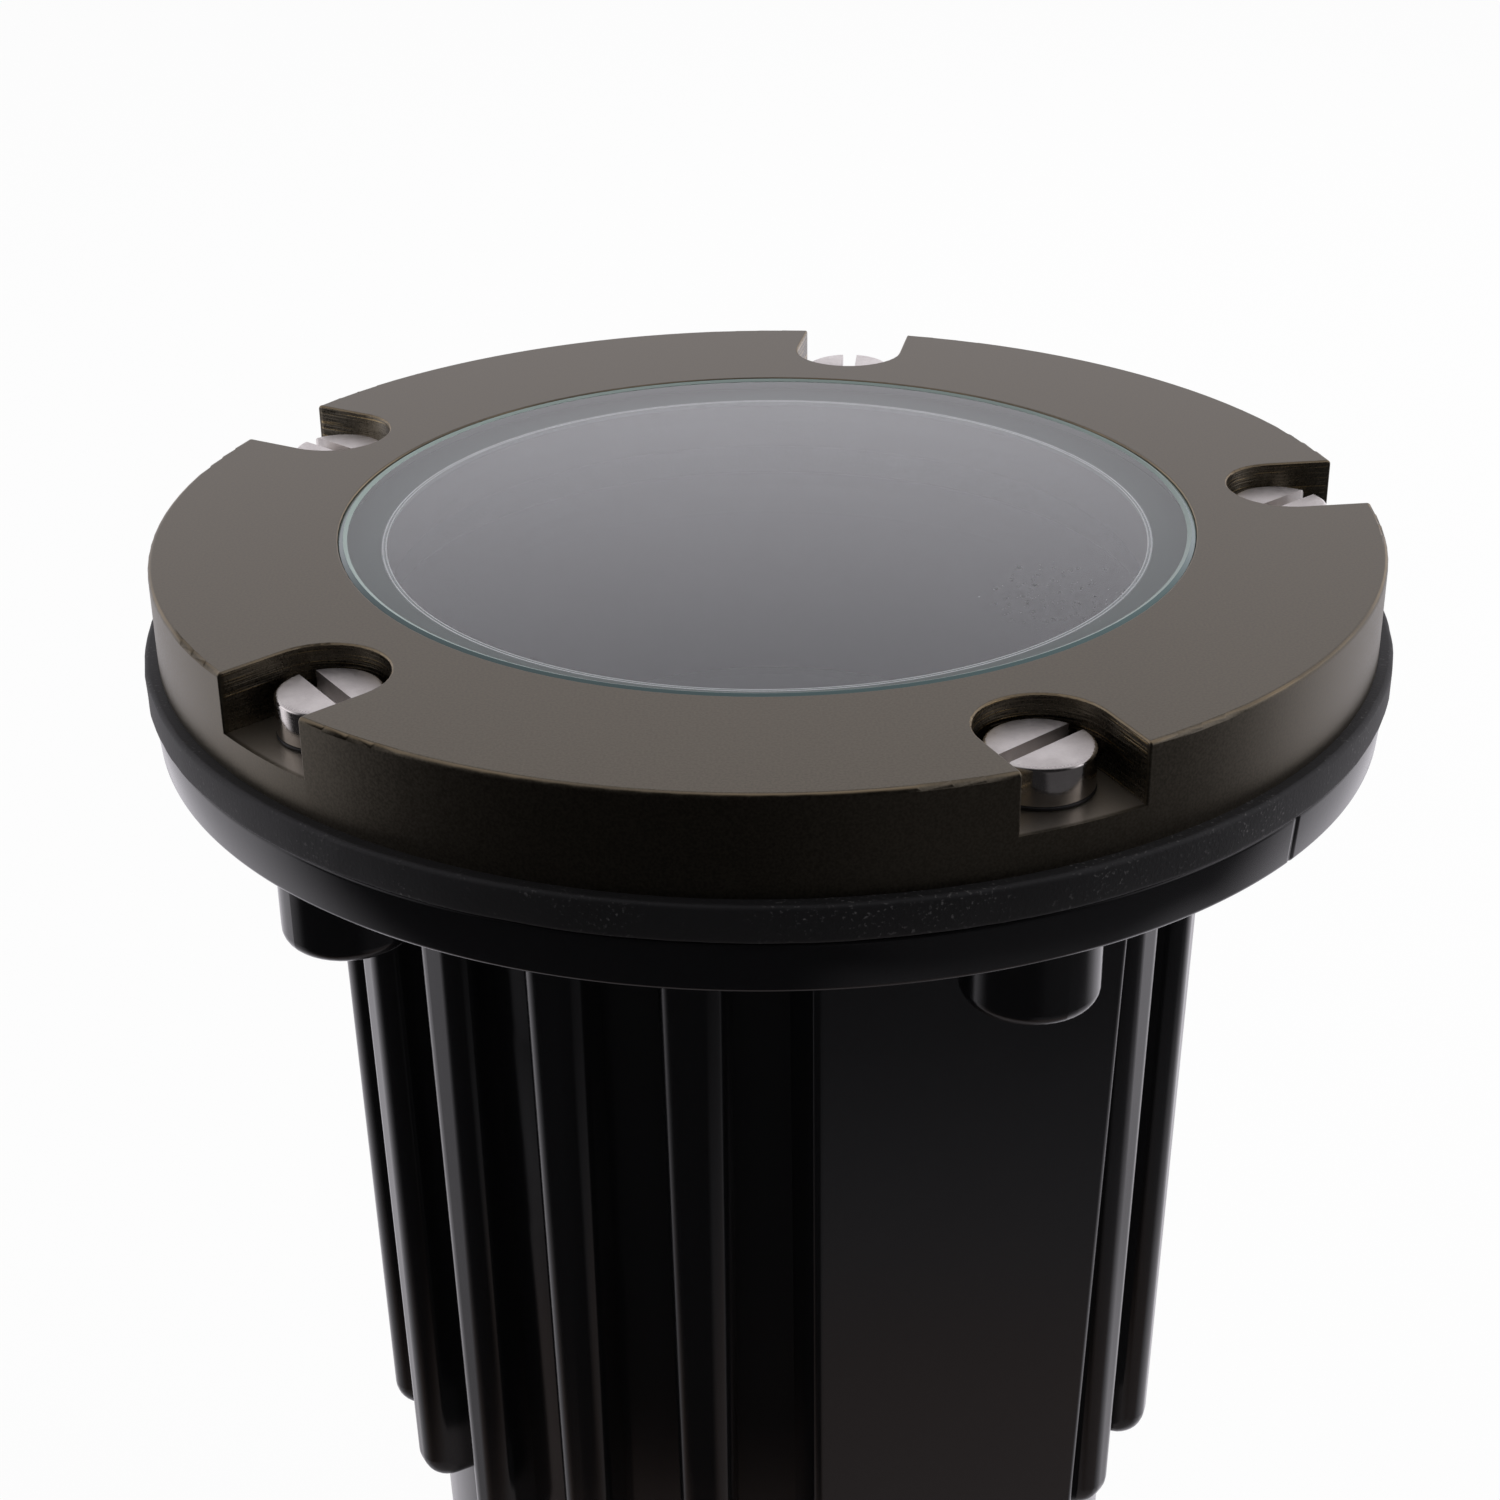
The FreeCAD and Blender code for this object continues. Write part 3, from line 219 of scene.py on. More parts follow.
floor_paint = bpy.data.materials.new("floor_paint")
floor_mesh.materials.append(floor_paint)
floor_paint.use_nodes = True
paint = floor_paint.node_tree
paint.nodes.clear()
rays = paint.nodes.new("ShaderNodeLightPath").outputs
across, along = (coordinate(paint, "Object", axis) for axis in "XY")
away = length_node(paint, across, along)


def slanted(slope):
    """Distance along Y, tilted towards X."""
    return math_node(paint, "ADD", along, math_node(paint, "MULTIPLY", across, slope))


def strongest(first, *others):
    """The highest of several values."""
    for value in others:
        first = math_node(paint, "MAXIMUM", first, value)
    return first


near_bounce = strongest(ramp_node(paint, across, *RIGHT_BOUNCE),
                        ramp_node(paint, slanted(BOUNCE_SLOPE), *BOUNCE_FADE))
near_bounce = math_node(paint, "MULTIPLY", near_bounce, ramp_node(paint, away, *NEAR_BY))
bounce = strongest(near_bounce, ramp_node(paint, across, *FAR_BOUNCE),
                   ramp_node(paint, away, *FRONT_GLOW))
mirrored = strongest(ramp_node(paint, slanted(BACK_SLOPE), *BACK_FADE), bounce)
plain = strongest(ramp_node(paint, mirrored, *PLAIN_WHERE_BRIGHT),
                  ramp_node(paint, away, *PLAIN_WHERE_FAR))
tint = mix_color(paint, plain, BROWN_CAST, WALL_TINT)
glow = add_node(paint, "ShaderNodeEmission", {
    "Strength": strongest(rays["Is Camera Ray"], mirrored),
    "Color": mix_color(paint, rays["Is Camera Ray"], tint, WHITE)})
matte = add_node(paint, "ShaderNodeBsdfDiffuse", {"Color": (*[FLOOR_GREY] * 3, 1.0)})
share = strongest(strongest(rays["Is Glossy Ray"], rays["Is Transmission Ray"]),
                  math_node(paint, "MULTIPLY", rays["Is Camera Ray"], VIEW_SHARE))
mix = add_node(paint, "ShaderNodeMixShader", {0: share, 1: matte.outputs[0], 2: glow.outputs[0]})
add_node(paint, "ShaderNodeOutputMaterial", {"Surface": mix.outputs[0]})
print("floor:", len(paint.nodes), "nodes")

# %% [markdown]
# ## Softboxes
# Two large soft lamps stand above, at the right and behind, as in a product studio. World light
# alone would do, but it gives no direction and no soft shadow. The lamps aren't seen in
# reflections, because the photograph shows no bright squares in the glass.

# %% Softboxes
SOFTBOX_POWER = 3.0


def softbox(name, spot, target, size):
    """A square area light that looks at a point."""
    data = bpy.data.lights.new(name, "AREA")
    data.size = size
    data.energy = SOFTBOX_POWER
    lamp = bpy.data.objects.new(name, data)
    scene.collection.objects.link(lamp)
    lamp.location = spot
    lamp.rotation_euler = (Vector(target) - Vector(spot)).to_track_quat("-Z", "Y").to_euler()
    lamp.visible_glossy = lamp.visible_transmission = False


softbox("softbox_right", spot=(0.7, 0.1, 0.7), target=(0, 0, 0.14), size=0.5)
softbox("softbox_back", spot=(0.3, 0.8, 0.8), target=(0, 0, 0.16), size=0.6)
print("lights:", [light.name for light in bpy.data.lights])

# %% [markdown]
# ## Shared effects
# Three effects come back on many pieces: a fine grain and a slow drift of tone, which one node
# group gives, and lathe marks, which another gives. They could be copied into every material, but
# a group is built once and placed in each material with that material's own values.

# %% Shader groups
FINE_DETAIL, DRIFT_DETAIL = 3.0, 4.0


def new_group(name, inputs, outputs):
    """An empty shader group with inputs (name, number or vector) and number outputs."""
    group = bpy.data.node_groups.new(name, "ShaderNodeTree")
    for label, default in inputs:
        kind = "NodeSocketVector" if isinstance(default, tuple) else "NodeSocketFloat"
        socket = group.interface.new_socket(label, in_out="INPUT", socket_type=kind)
        socket.default_value = default
    for label in outputs:
        group.interface.new_socket(label, in_out="OUTPUT", socket_type="NodeSocketFloat")
    return group, group.nodes.new("NodeGroupInput").outputs


def noise(tree, vector, scale=1.0, detail=FINE_DETAIL):
    """The value of a Noise Texture, with a scale that is a number or a socket."""
    inputs = {"Vector": vector, "Scale": scale, "Detail": detail}
    return add_node(tree, "ShaderNodeTexNoise", inputs).outputs["Fac"]


def make_grain():
    """Fine grain and a slow drift of tone, both about 0.5."""
    group, given = new_group("grain", [("Fine Scale", 2500), ("Drift Scale", 40)],
                             ["Grain", "Drift"])
    place = coordinates(group, "Object")
    add_node(group, "NodeGroupOutput", {
        "Grain": noise(group, place, given["Fine Scale"]),
        "Drift": noise(group, place, given["Drift Scale"], DRIFT_DETAIL)})
    return group


def make_lathe_marks():
    """Fine rings about the Z axis, as a lathe leaves them on a face and on a wall."""
    group, given = new_group("lathe_marks", [
        ("Place", (0.0, 0.0, 0.0)), ("Lines", 4000), ("Waver", 0.15)], ["Marks", "Radius"])
    split = add_node(group, "ShaderNodeSeparateXYZ", {0: given["Place"]})
    x, y, z = (split.outputs[axis] for axis in "XYZ")
    radius, angle = length_node(group, x, y), math_node(group, "ARCTAN2", y, x)
    turned = add_node(group, "ShaderNodeCombineXYZ", {"X": radius, "Y": z, "Z": angle})
    stretch = add_node(group, "ShaderNodeCombineXYZ", {
        "X": given["Lines"], "Y": given["Lines"], "Z": given["Waver"]})
    scaled = vector_node(group, "MULTIPLY", turned.outputs[0], stretch.outputs[0])
    add_node(group, "NodeGroupOutput", {
        "Marks": noise(group, scaled.outputs[0]), "Radius": radius})
    return group


grain_group = make_grain()
lathe_group = make_lathe_marks()
print("shader groups:", [group.name for group in bpy.data.node_groups])

# %% [markdown]
# ## Finishes
# Every surface gets a Principled shader. Numbers that are the same all over a surface sit on the
# shader itself, and only what varies is linked. Most pieces are plainly moulded, plated or painted.
# They could have one colour each, but real ones vary, so they share one recipe: tone and roughness
# drift slowly, and a fine grain roughens the surface. Where a colour or roughness is linked, the
# plain value below the link is the average, for viewers that can't read nodes.

# %% Material helpers
PLAIN_FINE, PLAIN_DRIFT = 2500, 60
MIDDLE, ROUGH_SPREAD = (0.25, 0.75), 0.15


def new_finish(name, color, roughness, **sockets):
    """A material with a Principled shader; gives the material, its tree and the shader."""
    finish = bpy.data.materials.new(name)
    finish.use_nodes = True
    shader = finish.node_tree.nodes["Principled BSDF"]
    shader.inputs["Base Color"].default_value = (*color, 1.0)
    shader.inputs["Roughness"].default_value = roughness
    for label, value in sockets.items():
        shader.inputs[label.replace("_", " ")].default_value = value
    return finish, finish.node_tree, shader


def use_group(tree, group, **values):
    """The outputs of a node group that is placed in a material with its own inputs."""
    inputs = {label.replace("_", " "): value for label, value in values.items()}
    return add_node(tree, "ShaderNodeGroup", inputs, node_tree=group).outputs


def bump(tree, shader, height, depth):
    """Roughens the shader's normal by a height."""
    node = add_node(tree, "ShaderNodeBump", {"Strength": 1.0, "Distance": depth, "Height": height})
    tree.links.new(node.outputs[0], shader.inputs["Normal"])


def spread_out(value, spread):
    """A number, or each part of a colour, made lower and higher by a share."""
    if isinstance(value, tuple):
        return [tuple(c * factor for c in value) for factor in (1 - spread, 1 + spread)]
    return value * (1 - spread), value * (1 + spread)


def plain_finish(name, color, roughness, spread=0.15, depth=1e-5, **sockets):
    """A moulded or plated finish: drift in tone and roughness, and a fine grain."""
    finish, tree, shader = new_finish(name, color, roughness, **sockets)
    grain = use_group(tree, grain_group, Fine_Scale=PLAIN_FINE, Drift_Scale=PLAIN_DRIFT)
    drifting = mix_color(tree, grain["Drift"], *spread_out(color, spread))
    tree.links.new(drifting, shader.inputs["Base Color"])
    rough = ramp_node(tree, grain["Drift"], *MIDDLE, *spread_out(roughness, ROUGH_SPREAD))
    tree.links.new(rough, shader.inputs["Roughness"])
    bump(tree, shader, grain["Grain"], depth)
    return finish


PLAIN_FINISHES = [
    ("edge_glass", (0.08, 0.135, 0.135), 0.12, {"spread": 0.1, "depth": 1e-6}),
    ("grey_silicone", (0.26, 0.335, 0.305), 0.4, {"spread": 0.06}),
    # Painted light: the ground lines glow by emission, standing for light that runs inside the
    # glass.
    ("glowing_ground_glass", (0.80, 0.82, 0.84), 0.6, {
        "spread": 0.1, "Emission_Strength": 0.2, "Emission_Color": (1.0, 1.0, 1.0, 1.0)}),
    ("gland_plastic", (0.022, 0.022, 0.024), 0.45, {"depth": 3e-5}),
    ("black_steel", (0.02, 0.02, 0.021), 0.4, {}),
    ("zinc_steel", (0.55, 0.56, 0.57), 0.35, {"depth": 5e-6, "Metallic": 1.0}),
    ("insert_brass", (0.62, 0.46, 0.20), 0.3, {"depth": 5e-6, "Metallic": 1.0}),
    ("white_nylon", (0.70, 0.69, 0.65), 0.5, {"spread": 0.05, "depth": 2e-5}),
    ("lamp_aluminium", (0.66, 0.67, 0.68), 0.32, {"depth": 6e-6, "Metallic": 1.0}),
    ("white_board", (0.78, 0.78, 0.75), 0.4, {"spread": 0.04}),
    ("amber_resin", (0.80, 0.58, 0.12), 0.25, {"spread": 0.06}),
    ("white_ceramic", (0.74, 0.72, 0.66), 0.3, {"spread": 0.05, "depth": 2e-5}),
    ("lead_rubber", (0.02, 0.02, 0.022), 0.4, {}),
]
finishes = {}
for name, color, roughness, more in PLAIN_FINISHES:
    finishes[name] = plain_finish(name, color, roughness, **more)
print("plain finishes:", len(finishes))

# %% [markdown]
# ### Bronzed ring
# The ring is brass that was blackened to a brown bronze and left satin. It is a metal, so its
# colour shows in what it mirrors. On its edges the bronze has rubbed thin and brass shines through,
# and the same brass also stands as a painted highlight along the rounded edges.
# Painting the edges by hand would be slow, and isn't needed: all the rounded top edges lie within
# half a millimetre below the top face, so a band of height picks them out. The walls of the notches
# were milled: lines run along them, and a few glints of bare brass are left in the lines. The
# notches' floors carry painted light: a paler colour stands for the light that falls on them.

# %% Bronze
BRONZE_DARK, BRONZE_LIGHT = (0.112, 0.099, 0.074), (0.160, 0.141, 0.107)
RUBBED_BRASS_AND_HIGHLIGHT, BARE_BRASS = (0.34, 0.27, 0.17), (0.55, 0.42, 0.22)
NOTCH_PAINTED_LIGHT = (0.34, 0.31, 0.26)
EDGE_START = (RING_TOP - 0.00026, RING_TOP - 0.00012)
EDGE_END = (RING_TOP - 0.00004, RING_TOP - 0.00001, 1.0, 0.0)
NOTCH_BACK, NOTCH_MOUTH = (0.0440, 0.0450), (0.0594, 0.0598, 1.0, 0.0)
NOTCH_LEVEL = (0.1600, 0.1605, 1.0, 0.0)
UPRIGHT, LEVEL = (0.2, 0.6, 1.0, 0.0), (0.9, 1.0)
MILLING, MILLED_POLISH, FURROW_DEPTH = (90.0, 90.0, 5200.0), 0.12, 24.0
BRONZE_MEAN, BRONZE_SPECK, BRONZE_WEAR = (0.1, 0.09, 0.08), (0.30, 0.70), (0.35, 0.65, 0.15, 0.8)
BRONZE_ROUGH, BRONZE_GRAIN, BRONZE_RELIEF, GLINT_STEP = (0.36, 0.46), 0.6, 4e-6, (0.58, 0.68)


def bronze_masks(tree, marks):
    """Where the ring's walls, notches, milled walls and level faces are."""
    flat = math_node(tree, "ABSOLUTE", coordinate(tree, "Normal", "Z"))
    wall = ramp_node(tree, flat, *UPRIGHT)
    notch = math_node(tree, "MULTIPLY", ramp_node(tree, marks["Radius"], *NOTCH_MOUTH),
                      ramp_node(tree, marks["Radius"], *NOTCH_BACK))
    milled = math_node(tree, "MULTIPLY", wall, notch, clamp=True)
    return wall, notch, milled, ramp_node(tree, flat, *LEVEL)


def bronze_finish():
    """Bronzed brass: satin, brass edges (wear and painted highlight), milled notches, painted light
    on notch floors.
    """
    finish, tree, shader = new_finish("dark_bronze", BRONZE_MEAN, 0.40, Metallic=1.0)
    grain = use_group(tree, grain_group, Fine_Scale=4200, Drift_Scale=55)
    marks = use_group(tree, lathe_group, Place=coordinates(tree, "Object"), Lines=5200, Waver=3.0)
    wall, notch, milled, level_face = bronze_masks(tree, marks)
    height = coordinate(tree, "Object", "Z")
    speck = ramp_node(tree, grain["Grain"], *BRONZE_SPECK)
    color = mix_color(tree, speck, BRONZE_DARK, BRONZE_LIGHT)

    # Wear and painted highlight: brass along the rounded top edges stands partly for rubbed bronze
    # and partly for the edges' highlight.
    worn = ramp_node(tree, grain["Drift"], *BRONZE_WEAR)
    band = math_node(tree, "MULTIPLY", ramp_node(tree, height, *EDGE_START),
                     ramp_node(tree, height, *EDGE_END))
    edge = math_node(tree, "MULTIPLY", band, worn, clamp=True)
    color = mix_color(tree, edge, color, RUBBED_BRASS_AND_HIGHLIGHT)

    stretched = vector_node(tree, "MULTIPLY", coordinates(tree, "Object"), MILLING)
    lines = noise(tree, stretched.outputs[0])
    glint = math_node(tree, "MULTIPLY", milled, ramp_node(tree, lines, *GLINT_STEP), clamp=True)
    color = mix_color(tree, glint, color, BARE_BRASS)

    # Painted light: the notch floors are made paler, standing for the light that falls on them.
    painted_light_notch_floor = math_node(tree, "MULTIPLY", ramp_node(tree, height, *NOTCH_LEVEL),
                            math_node(tree, "MULTIPLY", notch, level_face), clamp=True)
    color = mix_color(tree, painted_light_notch_floor, color, NOTCH_PAINTED_LIGHT)
    tree.links.new(color, shader.inputs["Base Color"])

    rough = ramp_node(tree, grain["Grain"], *MIDDLE, *BRONZE_ROUGH)
    polish = math_node(tree, "MULTIPLY", milled, MILLED_POLISH)
    tree.links.new(math_node(tree, "SUBTRACT", rough, polish), shader.inputs["Roughness"])
    relief = math_node(tree, "ADD", math_node(tree, "MULTIPLY", grain["Grain"], BRONZE_GRAIN),
                       math_node(tree, "MULTIPLY", marks["Marks"], wall))
    furrows = math_node(tree, "MULTIPLY", lines, math_node(tree, "MULTIPLY", milled, FURROW_DEPTH))
    bump(tree, shader, math_node(tree, "ADD", relief, furrows), BRONZE_RELIEF)
    return finish


finishes["dark_bronze"] = bronze_finish()
print("bronze:", len(finishes["dark_bronze"].node_tree.nodes), "nodes")

# %% [markdown]
# ### Clear glass
# Seen this low, the glass mirrors the bright wall behind it, which is why it looks grey. It could
# be painted grey, but then nothing would show through from above, so it is real glass that lets
# light pass. A few specks of dirt lie on it. They are rough spots, because the export keeps rough
# glass and would lose a spot that lets less light pass.

# %% Clear glass
GLASS_IOR, HAZE_SPREAD, GLASS_HAZE = 1.52, 0.03, (0.55, 0.95)
DIRT_PLACE, DIRT_REACH, SPECK_SIZE = (0.027, -0.020, 0.165), (0.003, 0.013), (0.655, 0.70)


def glass_finish(name, tint, roughness=0.0, dirt=0.0):
    """Clear glass with a faint tint at each face, and specks of dirt in one place."""
    finish, tree, shader = new_finish(name, tint, roughness, Transmission_Weight=1.0, IOR=GLASS_IOR)
    grain = use_group(tree, grain_group, Fine_Scale=1500, Drift_Scale=120)
    haze = ramp_node(tree, grain["Drift"], *GLASS_HAZE, roughness, roughness + HAZE_SPREAD)
    if dirt:
        away = vector_node(tree, "DISTANCE", coordinates(tree, "Object"), DIRT_PLACE)
        near = ramp_node(tree, away.outputs["Value"], *DIRT_REACH, dirt, 0.0)
        specks = math_node(tree, "MULTIPLY", near, ramp_node(tree, grain["Grain"], *SPECK_SIZE))
        haze = math_node(tree, "MAXIMUM", haze, specks)
    tree.links.new(haze, shader.inputs["Roughness"])
    return finish


finishes["clear_glass"] = glass_finish("clear_glass", (0.76, 0.80, 0.81), dirt=0.5)
finishes["lamp_glass"] = glass_finish("lamp_glass", (0.98, 0.98, 0.97), 0.05)
print("glass finishes: clear_glass and lamp_glass")

# %% [markdown]
# ### Screw steel
# The screws are bright steel, turned on a lathe: satin on top and polished around the side. The
# marks have to run about each screw's own axis. Five materials would do that, but one is enough
# when every screw carries its own coordinates in an attribute, which this finish reads.

# %% Screw steel
STEEL_DARK, STEEL_LIGHT = (0.66, 0.625, 0.60), (0.80, 0.765, 0.735)
HEAD_SIDE, SIDE_POLISH, STEEL_RELIEF = (0.0044, 0.0047), 0.27, 3e-6
TOP_GRAIN, SIDE_GRAIN = 3.0, 0.3
STEEL_MEAN, STEEL_PATCH, STEEL_SATIN = (0.66, 0.63, 0.61), (0.35, 0.65), (0.2, 0.8, 0.30, 0.54)


def screw_finish():
    """Bright steel, turned about the screw's own axis."""
    finish, tree, shader = new_finish("nickel_steel", STEEL_MEAN, 0.42, Metallic=1.0)
    own = add_node(tree, "ShaderNodeAttribute", {}, attribute_name="own_place")
    marks = use_group(tree, lathe_group, Place=own.outputs["Vector"], Lines=7000, Waver=2.0)
    grain = use_group(tree, grain_group, Fine_Scale=6000, Drift_Scale=260)
    side = ramp_node(tree, marks["Radius"], *HEAD_SIDE)
    satin = ramp_node(tree, grain["Grain"], *STEEL_SATIN)
    polish = math_node(tree, "MULTIPLY", side, SIDE_POLISH)
    tree.links.new(math_node(tree, "SUBTRACT", satin, polish), shader.inputs["Roughness"])
    patch = ramp_node(tree, grain["Drift"], *STEEL_PATCH)
    tree.links.new(mix_color(tree, patch, STEEL_DARK, STEEL_LIGHT), shader.inputs["Base Color"])
    amount = ramp_node(tree, side, 0.0, 1.0, TOP_GRAIN, SIDE_GRAIN)
    top = math_node(tree, "MULTIPLY", grain["Grain"], amount)
    bump(tree, shader, math_node(tree, "ADD", marks["Marks"], top), STEEL_RELIEF)
    return finish


finishes["nickel_steel"] = screw_finish()
print("screw steel:", len(finishes["nickel_steel"].node_tree.nodes), "nodes")

# %% [markdown]
# ### Black plastic and rubber
# The housing is glossy moulded plastic, almost black, and the gasket is matte rubber with some
# dust. Two plain blacks would look alike. What tells them apart is how they mirror: the plastic has
# a faint waviness that bends its reflections, and the rubber has a coarse grain with pale specks.

# %% Black plastic and rubber
PLASTIC_BLACK, PLASTIC_GLOSS = (0.006, 0.006, 0.0065), (0.3, 0.7, 0.12, 0.20)
PLASTIC_GRAIN, PLASTIC_WAVE, PLASTIC_IOR = 0.01, 6e-5, 1.5
RUBBER_MEAN, RUBBER_BLACK = (0.012, 0.012, 0.0125), (0.011, 0.011, 0.0115)
DUST_COLOR, DUST_AREA, DUST_SPECK = (0.10, 0.097, 0.095), (0.4, 0.65), (0.58, 0.72)
RUBBER_RELIEF = 3e-5


def housing_finish():
    """Glossy black plastic with the slow waviness of a moulding."""
    finish, tree, shader = new_finish("black_plastic", PLASTIC_BLACK, 0.16, IOR=PLASTIC_IOR)
    grain = use_group(tree, grain_group, Fine_Scale=1400, Drift_Scale=45)
    gloss = ramp_node(tree, grain["Drift"], *PLASTIC_GLOSS)
    tree.links.new(gloss, shader.inputs["Roughness"])
    fine = math_node(tree, "MULTIPLY", grain["Grain"], PLASTIC_GRAIN)
    bump(tree, shader, math_node(tree, "ADD", grain["Drift"], fine), PLASTIC_WAVE)
    return finish


def rubber_finish():
    """Matte black rubber, a little dusty."""
    finish, tree, shader = new_finish("black_rubber", RUBBER_MEAN, 0.6)
    grain = use_group(tree, grain_group, Fine_Scale=3000, Drift_Scale=160)
    dust = math_node(tree, "MULTIPLY", ramp_node(tree, grain["Drift"], *DUST_AREA),
                     ramp_node(tree, grain["Grain"], *DUST_SPECK))
    tree.links.new(mix_color(tree, dust, RUBBER_BLACK, DUST_COLOR), shader.inputs["Base Color"])
    bump(tree, shader, grain["Grain"], RUBBER_RELIEF)
    return finish


finishes["black_plastic"] = housing_finish()
finishes["black_rubber"] = rubber_finish()
print("finishes:", len(finishes))

# %% [markdown]
# ### Finishes on the CAD pieces
# Each CAD piece is named in the record with the finish that it takes. Pieces could be gone through
# one by one here, but the record already has the list, so one loop gives every piece its finish.

# %% Finishes on the CAD pieces
for row in frame["record"]["subparts"]:
    mesh = frame["nodes"][row["node"]].data
    mesh.materials.clear()
    mesh.materials.append(finishes[row["material_slot"]])

# %% [markdown]
# ## Turned pieces
# Screws, washers, glass and lamp front are round. Blender's cylinders could be joined for them, but
# their edges would be perfectly sharp. So these pieces are turned as on a lathe: an outline of
# radius and height is spun about the upright axis, and its corners carry a rounding that catches
# the light.

# %% Turned pieces
ARC_PARTS, ON_AXIS = 6, 1e-9


def mm(corners):
    """An outline given in millimetres, in metres."""
    return [tuple(value * MM for value in corner) for corner in corners]


def rounded(corners):
    """Points of an outline; a corner (radius, height, rounding) is drawn as a short arc."""
    points = []
    for i, corner in enumerate(corners):
        spot = Vector(corner[:2])
        if len(corner) == 2:
            points.append(spot)
            continue
        back = (Vector(corners[i - 1][:2]) - spot).normalized()
        ahead = (Vector(corners[(i + 1) % len(corners)][:2]) - spot).normalized()
        half = back.angle(ahead) / 2
        centre = spot + (back + ahead).normalized() * (corner[2] / math.sin(half))
        first, last = (spot + way * (corner[2] / math.tan(half)) - centre for way in (back, ahead))
        sweep = first.angle(last)
        for k in range(ARC_PARTS + 1):
            near, far = (math.sin(sweep * part) for part in (1 - k / ARC_PARTS, k / ARC_PARTS))
            points.append(centre + (first * near + last * far) / math.sin(sweep))
    return points


def lathe(name, outline, steps, closed=False):
    """A skin of (radius, height) points turned about Z; a point on the axis becomes a pole."""
    skin = bmesh.new()
    rows = []
    for radius, height in outline:
        angles = [2 * math.pi * i / steps for i in range(steps if radius > ON_AXIS else 1)]
        circle = [(radius * math.cos(a), radius * math.sin(a), height) for a in angles]
        rows.append([skin.verts.new(place) for place in circle])
    for low, high in zip(rows, rows[1:] + (rows[:1] if closed else [])):
        for i in range(steps):
            corners = [low[i % len(low)], low[(i + 1) % len(low)],
                       high[(i + 1) % len(high)], high[i % len(high)]]
            skin.faces.new(list(dict.fromkeys(corners)))
    bmesh.ops.recalc_face_normals(skin, faces=skin.faces)
    mesh = bpy.data.meshes.new(name)
    skin.to_mesh(mesh)
    skin.free()
    return mesh


def add_piece(name, mesh, slot, body, *replaced, sharp=35):
    """An object at the origin that rides on a body and stands for CAD nodes."""
    mesh.shade_smooth()
    mesh.set_sharp_from_angle(angle=math.radians(sharp))
    if not mesh.materials:
        mesh.materials.append(finishes[slot])
    piece = bpy.data.objects.new(name, mesh)
    scene.collection.objects.link(piece)
    if body:
        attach(piece, body)
    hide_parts(*replaced)
    return piece


print("lathe ready, with", ARC_PARTS, "parts to a rounded corner")

# %% [markdown]
# ## Repeated shapes
# Screws, threads and bulges repeat. Copying them by hand works, but every change has to be made in
# each copy. Geometry Nodes keep the rule instead of the copies, so a tree of nodes makes them. A
# tree runs on a mesh, and what it gives is kept as a plain mesh.

# %% Repeated shapes


def new_tree(name, **inputs):
    """A Geometry Nodes tree with a geometry in and out, and inputs by kind."""
    tree = bpy.data.node_groups.new(name, "GeometryNodeTree")
    tree.interface.new_socket("Geometry", in_out="INPUT", socket_type="NodeSocketGeometry")
    tree.interface.new_socket("Geometry", in_out="OUTPUT", socket_type="NodeSocketGeometry")
    for kind, labels in inputs.items():
        for label in labels:
            tree.interface.new_socket(label, in_out="INPUT", socket_type="NodeSocket" + kind)
    return tree, tree.nodes.new("NodeGroupInput").outputs


def join_parts(tree, *parts):
    """The output of a Join Geometry node."""
    whole = tree.nodes.new("GeometryNodeJoinGeometry")
    for part in parts:
        tree.links.new(part, whole.inputs[0])
    return whole.outputs[0]


def end_tree(tree, geometry, material):
    """Realizes instances, sets the material and closes the tree."""
    real = add_node(tree, "GeometryNodeRealizeInstances", {"Geometry": geometry})
    coated = add_node(tree, "GeometryNodeSetMaterial", {
        "Geometry": real.outputs[0], "Material": material})
    add_node(tree, "NodeGroupOutput", {"Geometry": coated.outputs[0]})


def grow(name, mesh, tree, values):
    """Runs a tree on a mesh and gives the result as a plain mesh."""
    holder = bpy.data.objects.new(name, mesh)
    scene.collection.objects.link(holder)
    modifier = holder.modifiers.new(tree.name, "NODES")
    modifier.node_group = tree
    for item in tree.interface.items_tree:
        if item.name in values:
            modifier[item.identifier] = values[item.name]
    graph = bpy.context.evaluated_depsgraph_get()
    result = bpy.data.meshes.new_from_object(
        holder.evaluated_get(graph), preserve_all_data_layers=True, depsgraph=graph)
    bpy.data.objects.remove(holder)
    return result


print("trees can be grown")

# %% [markdown]
# ## Face screws
# Five slotted cheese-head screws hold the ring down. The head and the plain core are turned first.
# Slot and thread could be modelled on each screw, but a tree of nodes does it for all: it cuts the
# slot, winds the thread around the core and puts the screw in its place, turned as it was left when
# it was tightened. It also stores each screw's own coordinates, which its finish reads.

# %% Screw tree
BLADE_LENGTH, HELIX_STEPS, RIDGE_SIDES = 0.02, 28, 4


def cut_slot(tree, given):
    """The turned screw with a slot; half of the blade's height lies above the head."""
    depth = math_node(tree, "MULTIPLY", given["Slot Depth"], 2.0)
    size = add_node(tree, "ShaderNodeCombineXYZ", {
        "X": BLADE_LENGTH, "Y": given["Slot Width"], "Z": depth})
    level = add_node(tree, "ShaderNodeCombineXYZ", {"Z": given["Head Top"]})
    blade = add_node(tree, "GeometryNodeMeshCube", {"Size": size.outputs[0]})
    blade = add_node(tree, "GeometryNodeTransform", {
        "Geometry": blade.outputs[0], "Translation": level.outputs[0]})
    slotted = add_node(tree, "GeometryNodeMeshBoolean", {
        "Mesh 1": given["Geometry"], "Mesh 2": blade.outputs[0]}, operation="DIFFERENCE")
    return slotted.outputs[0]


